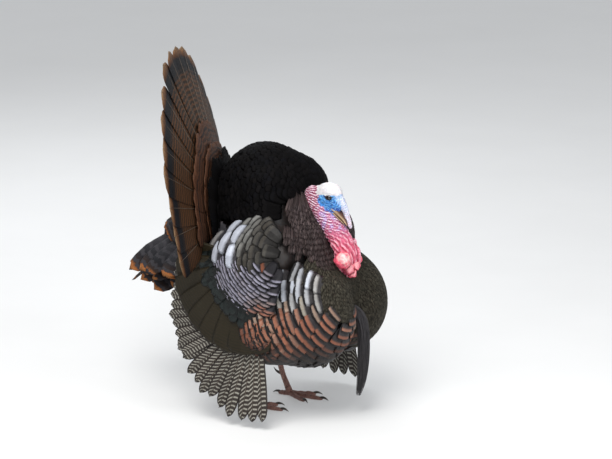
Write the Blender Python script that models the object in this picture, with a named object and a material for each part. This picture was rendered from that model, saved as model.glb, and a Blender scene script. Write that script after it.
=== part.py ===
"""A life-size wild turkey gobbler in full strut, standing on both feet.

Metres, +X is where the bird faces, +Y is its left, +Z is up, and z = 0 is the floor.
Body shapes are soft unions of ellipsoids, read off along rays from a centre.
Feather groups are fans of rounded vanes, and tubes follow curved centre lines.
"""

import math

import bmesh
import bpy
import numpy as np
from mathutils import Vector

# Driving sizes
PLACE = (0.13958, 0.02385, 0.0)       # sets the middle of the bird's box over the origin
GAP = 0.0003                        # clearance where one part is cut by another
BODY_SOFTNESS = 0.012               # how far the body's round masses run into each other
HEAD_SOFTNESS = 0.004

# The body: (centre, radii) of each round mass
TRUNK_MIDDLE = (-0.03, 0.0, 0.33)
TRUNK_MASSES = (
    ((-0.060, 0.0, 0.310), (0.165, 0.158, 0.185)),      # belly and ribs
    ((-0.088, 0.0, 0.440), (0.123, 0.128, 0.182)),      # raised back feathers
    ((-0.140, 0.0, 0.420), (0.078, 0.095, 0.150)),      # rump, up to the foot of the tail
    ((0.065, -0.006, 0.310), (0.068, 0.058, 0.080)),    # crop, where the neck comes out
)
TRUNK_PAIRS = (
    ((0.060, 0.080, 0.250), (0.120, 0.090, 0.122)),     # breast lobes
    ((-0.042, 0.068, 0.492), (0.070, 0.072, 0.088)),    # shoulders of the raised back
    ((0.000, 0.050, 0.455), (0.048, 0.045, 0.070)),     # mantle beside the head
    ((0.050, 0.052, 0.405), (0.045, 0.045, 0.060)),     # mantle beside the neck
)

# The head is carried a little to the right of the middle plane
HEAD_Y = -0.018
HEAD_MIDDLE = (0.083, HEAD_Y, 0.508)
HEAD_MASSES = (
    ((0.0852, HEAD_Y, 0.5240), (0.0300, 0.0195, 0.0275)),   # crown
    ((0.0475, HEAD_Y, 0.5140), (0.0215, 0.0180, 0.0250)),   # nape
    ((0.1040, HEAD_Y, 0.5010), (0.0190, 0.0155, 0.0220)),   # face, round the foot of the bill
    ((0.0771, HEAD_Y, 0.4868), (0.0260, 0.0175, 0.0270)),   # throat
)
EYE_PLACE = (0.0930, 0.0134, 0.5220)    # y is measured from the head's middle plane
EYE_RADIUS = 0.0074

# Bare neck: points down its middle line, with the half-width at each
NECK_LINE = (
    ((0.0620, HEAD_Y, 0.4950), 0.0190),
    ((0.0780, HEAD_Y, 0.4720), 0.0225),
    ((0.1010, HEAD_Y, 0.4440), 0.0235),
    ((0.1210, -0.016, 0.4120), 0.0250),
    ((0.1290, -0.012, 0.3780), 0.0270),
    ((0.1150, -0.008, 0.3450), 0.0270),
    ((0.0900, -0.006, 0.3250), 0.0230),
)
CARUNCLE_MIDDLE = (0.142, -0.018, 0.370)
CARUNCLES = (
    ((0.134, -0.043, 0.3785), (0.0190, 0.0185, 0.0190)),    # the big ball on the right
    ((0.1440, -0.030, 0.3530), (0.0150, 0.0150, 0.0160)),
    ((0.1500, -0.012, 0.3800), (0.0130, 0.0140, 0.0250)),
    ((0.1400, 0.012, 0.3760), (0.0170, 0.0170, 0.0190)),
    ((0.1460, 0.000, 0.3560), (0.0140, 0.0150, 0.0160)),
)

# Bill and snood: middle lines with half-height and half-width
UPPER_BILL = (
    ((0.1000, HEAD_Y, 0.5030), 0.0098, 0.0096),
    ((0.1120, HEAD_Y, 0.4920), 0.0082, 0.0082),
    ((0.1230, HEAD_Y, 0.4790), 0.0064, 0.0066),
    ((0.1315, HEAD_Y, 0.4655), 0.0044, 0.0046),
    ((0.1350, HEAD_Y, 0.4535), 0.0014, 0.0016),
)
LOWER_BILL = (
    ((0.0960, HEAD_Y, 0.4860), 0.0052, 0.0088),
    ((0.1080, HEAD_Y, 0.4760), 0.0046, 0.0072),
    ((0.1190, HEAD_Y, 0.4660), 0.0036, 0.0056),
    ((0.1260, HEAD_Y, 0.4575), 0.0018, 0.0026),
)
SNOOD = (
    ((0.1020, -0.016, 0.5260), 0.0070, 0.0080),
    ((0.1165, -0.011, 0.5180), 0.0072, 0.0076),
    ((0.1270, -0.004, 0.4990), 0.0066, 0.0068),
    ((0.1350, -0.001, 0.4760), 0.0062, 0.0064),
    ((0.1400, -0.001, 0.4590), 0.0056, 0.0058),
    ((0.1405, -0.001, 0.4480), 0.0030, 0.0032),
)
BEARD = (
    ((0.1080, 0.0, 0.2620), 0.0080, 0.0110),
    ((0.1400, 0.0, 0.2560), 0.0090, 0.0130),
    ((0.1620, 0.0, 0.2330), 0.0105, 0.0150),
    ((0.1700, 0.0, 0.1900), 0.0110, 0.0165),
    ((0.1710, 0.0, 0.1350), 0.0105, 0.0155),
    ((0.1670, 0.0, 0.0850), 0.0080, 0.0120),
    ((0.1600, 0.0, 0.0480), 0.0030, 0.0045),
)

# Tail fan
TAIL_FOOT = (-0.188, 0.0, 0.450)
TAIL_YAW = math.radians(20)         # the fan is turned, its right half forward
TAIL_LEAN = math.radians(9)
TAIL_CONE = math.radians(11)        # the halves sweep back, so the fan is a shallow cone
TAIL_FEATHERS = 18
TAIL_SPREAD = math.radians(103)     # from straight up to the outermost feather
TAIL_LENGTH = 0.408
TAIL_SIDE_LENGTH = 0.318
UPPER_COVERT_FEATHERS = 12
UPPER_COVERT_LENGTH = 0.225

# Skirt of feathers behind the fan
SKIRT_FOOT = (-0.200, 0.0, 0.365)
SKIRT_FEATHERS = 9
SKIRT_SPREAD = math.radians(80)
SKIRT_LENGTH = 0.262
SKIRT_SIDE_LENGTH = 0.170

# Wings
WING_MIDDLE = (-0.025, 0.150, 0.360)
WING_MASSES = (
    ((-0.015, 0.128, 0.395), (0.082, 0.060, 0.080)),    # shoulder
    ((-0.052, 0.150, 0.335), (0.085, 0.066, 0.110)),    # coverts over the arm
    ((-0.095, 0.135, 0.375), (0.060, 0.056, 0.060)),    # inner coverts
)
FLANK_Y = 0.217                     # how far the hanging wing stands out from the middle plane
WRIST = (0.000, 0.270)              # x and z of the bend of the wing
ELBOW = (-0.020, 0.380)             # x and z of the root of the tertials
FEATHER_STEPS = 3                   # straight bits in the round tip of one feather

# Legs
LEG_Y = 0.062
FOOT_X = {"right": -0.100, "left": -0.062}
SHANK_TOP = 0.150
SHANK_RADIUS = 0.0070
TOE_RADIUS = 0.0068
TOES = ((-30, 0.066), (0, 0.088), (30, 0.062), (180, 0.030))    # turn in degrees, length
CLAW_LENGTH = 0.016


def material(name, colour, roughness, metallic=0.0):
    """One plain finish, made once and shared by name."""
    found = bpy.data.materials.get(name)
    if found:
        return found
    made = bpy.data.materials.new(name)
    made.use_nodes = True
    shader = made.node_tree.nodes["Principled BSDF"]
    shader.inputs["Base Color"].default_value = (*colour, 1.0)
    shader.inputs["Roughness"].default_value = roughness
    shader.inputs["Metallic"].default_value = metallic
    return made


def finished(name, points, faces, finish):
    """Puts a closed mesh into the scene, its faces turned outwards and shaded smooth."""
    mesh = bpy.data.meshes.new(name)
    mesh.from_pydata([tuple(p) for p in points], [], faces)
    shape = bmesh.new()
    shape.from_mesh(mesh)
    bmesh.ops.triangulate(shape, faces=shape.faces)
    bmesh.ops.recalc_face_normals(shape, faces=shape.faces)
    if shape.calc_volume(signed=True) < 0:
        bmesh.ops.reverse_faces(shape, faces=shape.faces)
    shape.to_mesh(mesh)
    shape.free()
    mesh.shade_smooth()
    mesh.materials.append(finish)
    made = bpy.data.objects.new(name, mesh)
    bpy.context.collection.objects.link(made)
    made.parent = BIRD
    return made


def tube_faces(rings, sides):
    """Quads between neighbouring rings, and a flat cap on each end."""
    faces = [
        (r * sides + s, r * sides + (s + 1) % sides, (r + 1) * sides + (s + 1) % sides, (r + 1) * sides + s)
        for r in range(rings - 1)
        for s in range(sides)
    ]
    faces.append(tuple(reversed(range(sides))))
    faces.append(tuple(range((rings - 1) * sides, rings * sides)))
    return faces


def smooth_line(knots, steps):
    """Catmull-Rom curve through the knots, each a flat tuple of numbers."""
    knots = np.array(knots)
    padded = np.vstack([2 * knots[0] - knots[1], knots, 2 * knots[-1] - knots[-2]])
    spans = len(knots) - 1
    t = np.linspace(0, spans, steps)
    k = np.minimum(t.astype(int), spans - 1)
    u = (t - k)[:, None]
    a, b, c, d = padded[k], padded[k + 1], padded[k + 2], padded[k + 3]
    bend = (2 * a - 5 * b + 4 * c - d) * u**2 + (3 * b - a - 3 * c + d) * u**3
    return 0.5 * (2 * b + (c - a) * u + bend)


def tube(name, knots, steps, sides, finish, floor=None):
    """Oval tube along a line in an upright plane: knots are (point, half-height, half-width)."""
    line = smooth_line([(*point, high, wide) for point, high, wide in knots], steps)
    middle, high, wide = line[:, :3], line[:, 3], line[:, 4]
    along = np.gradient(middle, axis=0)
    along /= np.linalg.norm(along, axis=1)[:, None]
    first = along[len(along) // 2]
    across = np.cross(first, (0, 0, 1)) if abs(first[2]) < 0.99 else np.array((0.0, 1.0, 0.0))
    across = across / np.linalg.norm(across)
    over = np.cross(across, along)
    over /= np.linalg.norm(over, axis=1)[:, None]
    turn = np.linspace(0, 2 * math.pi, sides, endpoint=False)
    rings = (
        middle[:, None]
        + np.cos(turn)[None, :, None] * wide[:, None, None] * across
        + np.sin(turn)[None, :, None] * high[:, None, None] * over[:, None]
    )
    if floor is not None:
        rings[:, :, 2] = np.maximum(rings[:, :, 2], floor)
    return finished(name, rings.reshape(-1, 3), tube_faces(steps, sides), finish)


def mass_field(points, masses, softness):
    """Soft union of ellipsoids: below zero inside, about metres outside."""
    total = np.zeros(len(points))
    for centre, radii in masses:
        scaled = (points - np.array(centre)) / np.array(radii)
        depth = (np.linalg.norm(scaled, axis=1) - 1) * min(radii)
        total += np.exp(-depth / softness)
    return -softness * np.log(total)


def round_mass(name, middle, masses, softness, columns, rows, finish):
    """Closed surface where rays from the middle leave the soft union of the masses for good."""
    down = np.linspace(0, math.pi, rows + 1)[1:-1]
    round_ = np.linspace(0, 2 * math.pi, columns, endpoint=False)
    down, round_ = (g.ravel() for g in np.meshgrid(down, round_, indexing="ij"))
    rays = np.stack([np.sin(down) * np.cos(round_), np.sin(down) * np.sin(round_), np.cos(down)], 1)
    rays = np.vstack([rays, (0, 0, 1), (0, 0, -1)])
    reach = max(max(radii) + math.dist(centre, middle) for centre, radii in masses)
    inner, outer = np.zeros(len(rays)), np.full(len(rays), reach)
    for step in np.linspace(0, reach, 80):
        inside = mass_field(middle + rays * step, masses, softness) < 0
        inner = np.where(inside, step, inner)
    outer = inner + reach / 79
    for _ in range(24):
        half = (inner + outer) / 2
        inside = mass_field(middle + rays * half[:, None], masses, softness) < 0
        inner = np.where(inside, half, inner)
        outer = np.where(inside, outer, half)
    points = middle + rays * inner[:, None]
    faces = tube_faces(rows - 1, columns)[:-2]
    top, bottom, last = len(rays) - 2, len(rays) - 1, (rows - 2) * columns
    for c in range(columns):
        after = (c + 1) % columns
        faces.append((top, after, c))
        faces.append((bottom, last + c, last + after))
    return finished(name, points, faces, finish)


def mirrored(masses, sides=(1, -1)):
    """The masses, given for the left side, on each side asked for."""
    return tuple(((c[0], c[1] * side, c[2]), radii) for c, radii in masses for side in sides)


def scalloped(angle, spread, feathers, reach, notch, fullness=1.0):
    """Length of a fan at an angle: every feather ends in a round tip, with a notch between."""
    pitch = 2 * spread / feathers
    off = np.abs((angle + spread) / pitch - np.floor((angle + spread) / pitch) - 0.5) * 2
    return reach - notch * (1 - np.sqrt(np.maximum(1 - (off * fullness) ** 2, 0)))


def feather_angles(first, last, feathers):
    """Angles across a fan, with the same few steps over each feather."""
    return np.linspace(first, last, feathers * FEATHER_STEPS + 1)


def fan(name, angles, inner, outer, place, thick, bands, finish):
    """Closed plate over a fan: place(angle, length) gives its mid surface, thick its half-depth.

    The plate is a grid of angles by bands from the inner to the outer length. Each face of it
    is moved off the mid surface along the surface's normal, and the rims are closed.
    """
    share = np.linspace(0, 1, bands + 1)
    length = inner[:, None] + (outer - inner)[:, None] * share[None, :]
    angle = np.repeat(angles[:, None], bands + 1, axis=1)
    middle = place(angle, length)
    normal = np.cross(np.gradient(middle, axis=0), np.gradient(middle, axis=1))
    normal /= np.linalg.norm(normal, axis=2)[:, :, None]
    depth = (thick[0] + (thick[1] - thick[0]) * share)[None, :, None]
    front, back = middle + normal * depth, middle - normal * depth
    rows, columns = angle.shape
    points = np.concatenate([front.reshape(-1, 3), back.reshape(-1, 3)])
    under = rows * columns
    faces = []
    for r in range(rows - 1):
        for c in range(columns - 1):
            quad = (r * columns + c, r * columns + c + 1, (r + 1) * columns + c + 1, (r + 1) * columns + c)
            faces.append(quad)
            faces.append(tuple(under + i for i in reversed(quad)))
    rim = [c for c in range(columns)]
    rim += [r * columns + columns - 1 for r in range(1, rows)]
    rim += [(rows - 1) * columns + c for c in range(columns - 2, -1, -1)]
    rim += [r * columns for r in range(rows - 2, 0, -1)]
    for here, after in zip(rim, rim[1:] + rim[:1]):
        faces.append((here, under + here, under + after, after))
    return finished(name, points, faces, finish)


def cut_clear(part, *neighbours):
    """Cuts the neighbours, each a little swollen, out of a part, and keeps its biggest piece."""
    for neighbour in neighbours:
        swollen = bpy.data.objects.new("cutter", neighbour.data.copy())
        swollen.parent = BIRD
        bpy.context.collection.objects.link(swollen)
        for vertex in swollen.data.vertices:
            vertex.co += vertex.normal * GAP * 1.6
        cut = part.modifiers.new("cut", "BOOLEAN")
        cut.object = swollen
        cut.operation = "DIFFERENCE"
        part.data = bpy.data.meshes.new_from_object(part.evaluated_get(bpy.context.evaluated_depsgraph_get()))
        part.modifiers.clear()
        bpy.data.objects.remove(swollen)
    keep_biggest(part)


def joined(part, *others):
    """Unites touching shapes into one solid and takes the others away."""
    for other in others:
        join = part.modifiers.new("join", "BOOLEAN")
        join.object = other
        join.operation = "UNION"
        part.data = bpy.data.meshes.new_from_object(part.evaluated_get(bpy.context.evaluated_depsgraph_get()))
        part.modifiers.clear()
        bpy.data.objects.remove(other)
    return part


def keep_biggest(part):
    """Drops the crumbs a cut leaves, and welds what it leaves a hair apart."""
    shape = bmesh.new()
    shape.from_mesh(part.data)
    bmesh.ops.remove_doubles(shape, verts=shape.verts, dist=0.00002)
    bmesh.ops.dissolve_degenerate(shape, edges=shape.edges, dist=0.00001)
    groups, seen = [], set()
    for start in shape.verts:
        if start in seen:
            continue
        group, front = [], [start]
        seen.add(start)
        while front:
            vertex = front.pop()
            group.append(vertex)
            for edge in vertex.link_edges:
                other = edge.other_vert(vertex)
                if other not in seen:
                    seen.add(other)
                    front.append(other)
        groups.append(group)
    groups.sort(key=len, reverse=True)
    for group in groups[1:]:
        bmesh.ops.delete(shape, geom=group, context="VERTS")
    bmesh.ops.triangulate(shape, faces=shape.faces)
    shape.to_mesh(part.data)
    shape.free()


def make_trunk():
    """Breast, belly, raised back and mantle: one mass under its feathers."""
    masses = TRUNK_MASSES + mirrored(TRUNK_PAIRS)
    black = material("body_feathers", (0.035, 0.028, 0.024), 0.45)
    return round_mass("trunk", TRUNK_MIDDLE, masses, BODY_SOFTNESS, 26, 17, black)


def make_head():
    """The bare head, without bill, eyes and snood."""
    skin = material("bare_skin", (0.62, 0.22, 0.24), 0.5)
    return round_mass("head", HEAD_MIDDLE, HEAD_MASSES, HEAD_SOFTNESS, 16, 12, skin)


def make_neck():
    """The bare neck, from under the head down into the breast feathers."""
    skin = material("bare_skin", (0.62, 0.22, 0.24), 0.5)
    return tube("neck", [(p, r, r) for p, r in NECK_LINE], 8, 10, skin)


def make_caruncles():
    """The bunch of round lobes at the foot of the neck."""
    red = material("caruncle_skin", (0.72, 0.16, 0.18), 0.45)
    return round_mass("caruncles", CARUNCLE_MIDDLE, CARUNCLES, HEAD_SOFTNESS / 2, 16, 10, red)


def make_eye(side, sign):
    """One eyeball."""
    dark = material("eye", (0.02, 0.014, 0.01), 0.08)
    shape = bmesh.new()
    bmesh.ops.create_icosphere(shape, subdivisions=2, radius=EYE_RADIUS)
    bmesh.ops.translate(shape, verts=shape.verts, vec=(EYE_PLACE[0], HEAD_Y + EYE_PLACE[1] * sign, EYE_PLACE[2]))
    mesh = bpy.data.meshes.new("eye")
    shape.to_mesh(mesh)
    shape.free()
    mesh.shade_smooth()
    mesh.materials.append(dark)
    made = bpy.data.objects.new(f"eye_{side}", mesh)
    bpy.context.collection.objects.link(made)
    made.parent = BIRD
    return made


def tail_place(ahead):
    """Mid surface of the tail fan's cone, moved forward off the feathers by a distance."""
    front = Vector((math.cos(TAIL_YAW) * math.cos(TAIL_LEAN), math.sin(TAIL_YAW) * math.cos(TAIL_LEAN),
                    math.sin(TAIL_LEAN)))
    side = Vector((-math.sin(TAIL_YAW), math.cos(TAIL_YAW), 0))
    up = front.cross(side)

    def place(angle, length):
        """Direction = cos(cone) (cos(angle) up + sin(angle) side) - sin(cone) front."""
        flat = np.cos(angle)[..., None] * np.array(up) + np.sin(angle)[..., None] * np.array(side)
        way = math.cos(TAIL_CONE) * flat - math.sin(TAIL_CONE) * np.array(front)
        return np.array(TAIL_FOOT) + ahead * np.array(front) + length[..., None] * way

    return place


def make_tail_fan():
    """Eighteen tail feathers, spread past a half circle, held as one fan."""
    brown = material("tail_feathers", (0.10, 0.055, 0.032), 0.55)
    angles = feather_angles(-TAIL_SPREAD, TAIL_SPREAD, TAIL_FEATHERS)
    reach = TAIL_SIDE_LENGTH + (TAIL_LENGTH - TAIL_SIDE_LENGTH) * np.cos(angles / 2.1) ** 6
    outer = scalloped(angles, TAIL_SPREAD, TAIL_FEATHERS, reach, 0.034, 0.96)
    inner = np.full(len(angles), 0.05)
    return fan("tail_fan", angles, inner, outer, tail_place(0.0), (0.0030, 0.0008), 1, brown)


def make_upper_tail_coverts():
    """The shorter rusty feathers that lie over the foot of the tail fan in front."""
    rust = material("rusty_feathers", (0.24, 0.085, 0.04), 0.55)
    angles = feather_angles(-TAIL_SPREAD, TAIL_SPREAD, UPPER_COVERT_FEATHERS)
    reach = np.full(len(angles), UPPER_COVERT_LENGTH)
    outer = scalloped(angles, TAIL_SPREAD, UPPER_COVERT_FEATHERS, reach, 0.020, 0.96)
    inner = np.full(len(angles), 0.06)
    return fan("tail_coverts_upper", angles, inner, outer, tail_place(0.0085), (0.0050, 0.0012), 1, rust)


def make_undertail_coverts():
    """The soft dark skirt of feathers behind and below the tail fan."""
    dark = material("undertail_feathers", (0.03, 0.028, 0.035), 0.7)

    def place(angle, length):
        """A fan pointing back that droops with the square of the length, more so at the sides."""
        back = -np.cos(angle) * length
        aside = np.sin(angle) * length
        drop = -(1.25 + 1.1 * np.sin(angle) ** 2) * length**2
        return np.array(SKIRT_FOOT) + np.stack([back, aside, drop], -1)

    angles = feather_angles(-SKIRT_SPREAD, SKIRT_SPREAD, SKIRT_FEATHERS)
    reach = SKIRT_SIDE_LENGTH + (SKIRT_LENGTH - SKIRT_SIDE_LENGTH) * np.cos(angles) ** 2
    outer = scalloped(angles, SKIRT_SPREAD, SKIRT_FEATHERS, reach, 0.028, 0.97)
    inner = np.full(len(angles), 0.03)
    return fan("tail_coverts_under", angles, inner, outer, place, (0.0720, 0.0015), 2, dark)


def flank(x, z):
    """Distance of the hanging wing from the middle plane: fullest low down, closing to the rear."""
    rear = np.maximum(-0.02 - x, 0)
    fore = np.maximum(x + 0.02, 0)
    above = np.maximum(z - 0.24, 0)
    below = np.maximum(0.24 - z, 0)
    return FLANK_Y - 0.35 * rear**2 - 1.1 * fore**2 - 1.3 * above**2 + 0.10 * below


def wing_sheet(root, sign, inward, middle):
    """Mid surface of a wing's feather fan, laid on the flank round a middle direction."""

    def place(angle, length):
        """The middle direction is measured from straight down towards the rear."""
        x = root[0] - np.sin(angle + middle) * length
        z = root[1] - np.cos(angle + middle) * length
        return np.stack([x, sign * (flank(x, z) - inward), z], -1)

    return place


def make_wing(side, sign):
    """Shoulder and covert feathers over the folded arm."""
    bronze = material("wing_covert_feathers", (0.16, 0.13, 0.12), 0.4, 0.3)
    middle = (WING_MIDDLE[0], WING_MIDDLE[1] * sign, WING_MIDDLE[2])
    masses = tuple(((c[0], c[1] * sign, c[2]), radii) for c, radii in WING_MASSES)
    return round_mass(f"wing_{side}", middle, masses, BODY_SOFTNESS, 14, 10, bronze)


def make_tertials(side, sign):
    """The inner flight feathers, folded over each other into one smooth olive panel."""
    olive = material("tertial_feathers", (0.13, 0.10, 0.07), 0.5)
    half = math.radians(54)
    angles = feather_angles(-half, half, 6)
    reach = 0.187 + 0.026 * np.cos(angles * 1.2)
    outer = scalloped(angles, half, 6, reach, 0.010, 0.95)
    inner = np.full(len(angles), 0.03)
    place = wing_sheet(ELBOW, sign, 0.0, math.radians(41))
    return fan(f"tertials_{side}", angles, inner, outer, place, (0.0022, 0.0010), 2, olive)


def make_secondaries(side, sign):
    """The barred outer secondaries, fanned to the rear beneath the tertials."""
    barred = material("secondary_feathers", (0.33, 0.31, 0.28), 0.5)
    half = math.radians(26)
    angles = feather_angles(-half, half, 6)
    outer = scalloped(angles, half, 6, np.full(len(angles), 0.238), 0.012, 0.96)
    inner = np.full(len(angles), 0.06)
    place = wing_sheet(WRIST, sign, 0.0065, math.radians(87))
    return fan(f"secondaries_{side}", angles, inner, outer, place, (0.0020, 0.0008), 2, barred)


def make_primaries(side, sign):
    """The long barred primaries, fanned down and back from the wrist almost to the ground."""
    barred = material("primary_feathers", (0.33, 0.31, 0.28), 0.5)
    half = math.radians(32)
    angles = feather_angles(-half, half, 10)
    reach = 0.249 - 0.012 * np.sin(angles)
    outer = scalloped(angles, half, 10, reach, 0.022, 0.97)
    inner = np.full(len(angles), 0.03)
    place = wing_sheet(WRIST, sign, 0.0125, math.radians(28))
    return fan(f"primaries_{side}", angles, inner, outer, place, (0.0020, 0.0008), 2, barred)


def make_thigh(side, sign):
    """The feathered drumstick, most of it inside the belly feathers."""
    dark = material("leg_feathers", (0.06, 0.045, 0.035), 0.6)
    x = FOOT_X[side]
    knots = (
        ((x + 0.010, LEG_Y * sign, 0.200), 0.040, 0.036),
        ((x - 0.010, LEG_Y * sign, 0.165), 0.033, 0.030),
        ((x - 0.026, LEG_Y * sign, 0.130), 0.022, 0.020),
        ((x - 0.034, LEG_Y * sign, 0.108), 0.012, 0.011),
    )
    return tube(f"thigh_{side}", knots, 6, 10, dark)


def make_foot(side, sign):
    """Shank and four toes in one piece, flat underneath where they stand."""
    horn = material("scaly_leg", (0.36, 0.20, 0.16), 0.55)
    x, y = FOOT_X[side], LEG_Y * sign
    shank = tube(f"foot_{side}", (
        ((x - 0.034, y, SHANK_TOP - 0.030), SHANK_RADIUS * 1.2, SHANK_RADIUS),
        ((x - 0.032, y, SHANK_TOP - 0.055), SHANK_RADIUS * 1.15, SHANK_RADIUS),
        ((x - 0.018, y, 0.050), SHANK_RADIUS, SHANK_RADIUS * 0.9),
        ((x - 0.004, y, 0.020), SHANK_RADIUS * 1.15, SHANK_RADIUS * 1.2),
        ((x, y, 0.004), SHANK_RADIUS * 1.1, SHANK_RADIUS * 1.25),
    ), 6, 8, horn, 0.0)
    toes = []
    for turn, length in TOES:
        way = Vector((math.cos(math.radians(turn * sign)), math.sin(math.radians(turn * sign)), 0))
        foot = Vector((x, y, 0))
        knots = []
        for share, size, rise in ((-0.04, 0.8, 0.006), (0.15, 1.05, 0.006), (0.45, 0.95, 0.0045),
                                  (0.75, 0.85, 0.0040), (1.0, 0.5, 0.0045)):
            spot = foot + way * length * share + Vector((0, 0, rise))
            knots.append((tuple(spot), TOE_RADIUS * size, TOE_RADIUS * size))
        toes.append(tube("toe", knots, 4, 6, horn, 0.0))
    return joined(shank, *toes)


def make_claws(side, sign):
    """One curved claw ahead of each toe."""
    nail = material("claw", (0.05, 0.035, 0.03), 0.35)
    made = []
    for number, (turn, length) in enumerate(TOES, 1):
        way = Vector((math.cos(math.radians(turn * sign)), math.sin(math.radians(turn * sign)), 0))
        tip = Vector((FOOT_X[side], LEG_Y * sign, 0)) + way * length
        knots = []
        for share, size, rise in ((-0.25, 1.0, 0.0060), (0.3, 0.85, 0.0066), (0.7, 0.5, 0.0050), (1.0, 0.14, 0.0022)):
            spot = tip + way * CLAW_LENGTH * share + Vector((0, 0, rise))
            knots.append((tuple(spot), 0.0034 * size, 0.0028 * size))
        made.append(tube(f"claw_{side}_{number}", knots, 4, 6, nail))
    return made


def make_spur(side, sign):
    """The gobbler's spur on the back of the shank."""
    nail = material("claw", (0.05, 0.035, 0.03), 0.35)
    x, y = FOOT_X[side] - 0.020, LEG_Y * sign
    knots = (
        ((x + 0.002, y, 0.052), 0.0042, 0.0040),
        ((x - 0.010, y, 0.053), 0.0034, 0.0032),
        ((x - 0.019, y, 0.058), 0.0022, 0.0020),
        ((x - 0.024, y, 0.064), 0.0006, 0.0006),
    )
    return tube(f"spur_{side}", knots, 5, 6, nail)


for old in list(bpy.data.objects):
    bpy.data.objects.remove(old, do_unlink=True)
BIRD = bpy.data.objects.new("bird", None)
BIRD.location = PLACE
bpy.context.collection.objects.link(BIRD)

horn_finish = material("bill_horn", (0.36, 0.27, 0.20), 0.4)
snood_finish = material("snood_skin", (0.66, 0.42, 0.46), 0.5)
beard_finish = material("beard_bristle", (0.035, 0.032, 0.035), 0.5)

trunk = make_trunk()
head = make_head()
bill_upper = tube("bill_upper", UPPER_BILL, 7, 10, horn_finish)
bill_lower = tube("bill_lower", LOWER_BILL, 6, 10, horn_finish)
snood = tube("snood", SNOOD, 8, 6, snood_finish)
neck = make_neck()
caruncles = make_caruncles()
beard = tube("beard", BEARD, 6, 8, beard_finish)
eyes = [make_eye("left", 1), make_eye("right", -1)]
cut_clear(head, *eyes, bill_upper, bill_lower, trunk)
cut_clear(snood, head, bill_upper)
cut_clear(bill_lower, bill_upper)
cut_clear(neck, head, trunk, bill_lower)
cut_clear(caruncles, neck, trunk)
cut_clear(beard, trunk)

tail_fan = make_tail_fan()
upper_coverts = make_upper_tail_coverts()
under_coverts = make_undertail_coverts()
cut_clear(tail_fan, trunk)
cut_clear(upper_coverts, trunk, tail_fan)
cut_clear(under_coverts, trunk, tail_fan, upper_coverts)

for side, sign in (("left", 1), ("right", -1)):
    wing = make_wing(side, sign)
    tertials = make_tertials(side, sign)
    secondaries = make_secondaries(side, sign)
    primaries = make_primaries(side, sign)
    cut_clear(wing, trunk)
    cut_clear(tertials, trunk, wing)
    cut_clear(secondaries, trunk, wing)
    cut_clear(primaries, trunk, wing)
    thigh = make_thigh(side, sign)
    foot = make_foot(side, sign)
    claws = make_claws(side, sign)
    spur = make_spur(side, sign)
    cut_clear(thigh, trunk)
    cut_clear(foot, trunk, thigh, *claws, spur)
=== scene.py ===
"""A wild turkey gobbler in full strut, life size, standing on a pale floor.

Metres. HOME is the point on the floor that the bird's own sizes are measured from:
+X is where it faces, +Y its left and +Z up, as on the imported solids.
"""

import math

import bpy
import numpy as np
from mathutils import Matrix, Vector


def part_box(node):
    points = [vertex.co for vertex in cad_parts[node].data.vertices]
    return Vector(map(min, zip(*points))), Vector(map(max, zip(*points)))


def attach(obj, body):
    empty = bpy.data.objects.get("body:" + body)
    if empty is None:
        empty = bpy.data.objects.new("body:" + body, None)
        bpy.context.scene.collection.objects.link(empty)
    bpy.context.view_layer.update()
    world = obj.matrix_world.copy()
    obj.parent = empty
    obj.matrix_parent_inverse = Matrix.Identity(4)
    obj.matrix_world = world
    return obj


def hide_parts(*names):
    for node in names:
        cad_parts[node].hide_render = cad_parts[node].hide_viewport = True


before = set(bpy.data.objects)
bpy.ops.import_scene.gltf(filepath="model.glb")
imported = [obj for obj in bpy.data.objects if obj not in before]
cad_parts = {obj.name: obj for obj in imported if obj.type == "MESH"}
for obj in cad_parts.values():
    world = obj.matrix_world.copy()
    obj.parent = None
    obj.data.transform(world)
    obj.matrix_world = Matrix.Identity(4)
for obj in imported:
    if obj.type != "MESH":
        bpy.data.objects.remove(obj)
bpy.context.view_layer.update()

# ---------------------------------------------------------------- camera, floor and light
# The bird is seen from its right front, a little from above, by a long lens.
# A wide round floor of pale paint lies under it, and the lamps are broad and soft.
HEAD_Y = -0.018
EYE_PLACE = np.array((0.0930, 0.0134, 0.5220))      # left eye, y from the head's middle plane
eye_low, eye_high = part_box("eye_right")
HOME = (np.array(eye_low) + np.array(eye_high)) / 2 - (EYE_PLACE[0], HEAD_Y - EYE_PLACE[1], EYE_PLACE[2])
EYE_PLACE = EYE_PLACE + (0.0024, 0.0, -0.0016)

CAMERA_TURN = math.radians(29)
CAMERA_RISE = math.radians(14)
CAMERA_AWAY = 9.0
VIEW_WIDTH = 1.4382             # metres across the picture at the bird
HOME_RIGHT = 0.0141             # from HOME to the middle of the view
HOME_UP = 0.41348
SENSOR_WIDTH = 36.0             # millimetres

toward = np.array((math.sin(CAMERA_TURN) * math.cos(CAMERA_RISE),
                   -math.cos(CAMERA_TURN) * math.cos(CAMERA_RISE),
                   math.sin(CAMERA_RISE)))
right = np.array((math.cos(CAMERA_TURN), math.sin(CAMERA_TURN), 0.0))
above = np.cross(toward, right)
target = HOME + HOME_RIGHT * right + HOME_UP * above
lens = bpy.data.cameras.new("camera")
lens.sensor_width = SENSOR_WIDTH
lens.lens = SENSOR_WIDTH * CAMERA_AWAY / VIEW_WIDTH
lens.clip_end = 100.0
camera = bpy.data.objects.new("camera", lens)
bpy.context.collection.objects.link(camera)
stand = target + toward * CAMERA_AWAY
camera.matrix_world = Matrix((
    (right[0], above[0], toward[0], stand[0]),
    (right[1], above[1], toward[1], stand[1]),
    (right[2], above[2], toward[2], stand[2]),
    (0.0, 0.0, 0.0, 1.0),
))
bpy.context.scene.camera = camera
bpy.context.scene.view_settings.view_transform = "Standard"


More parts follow.
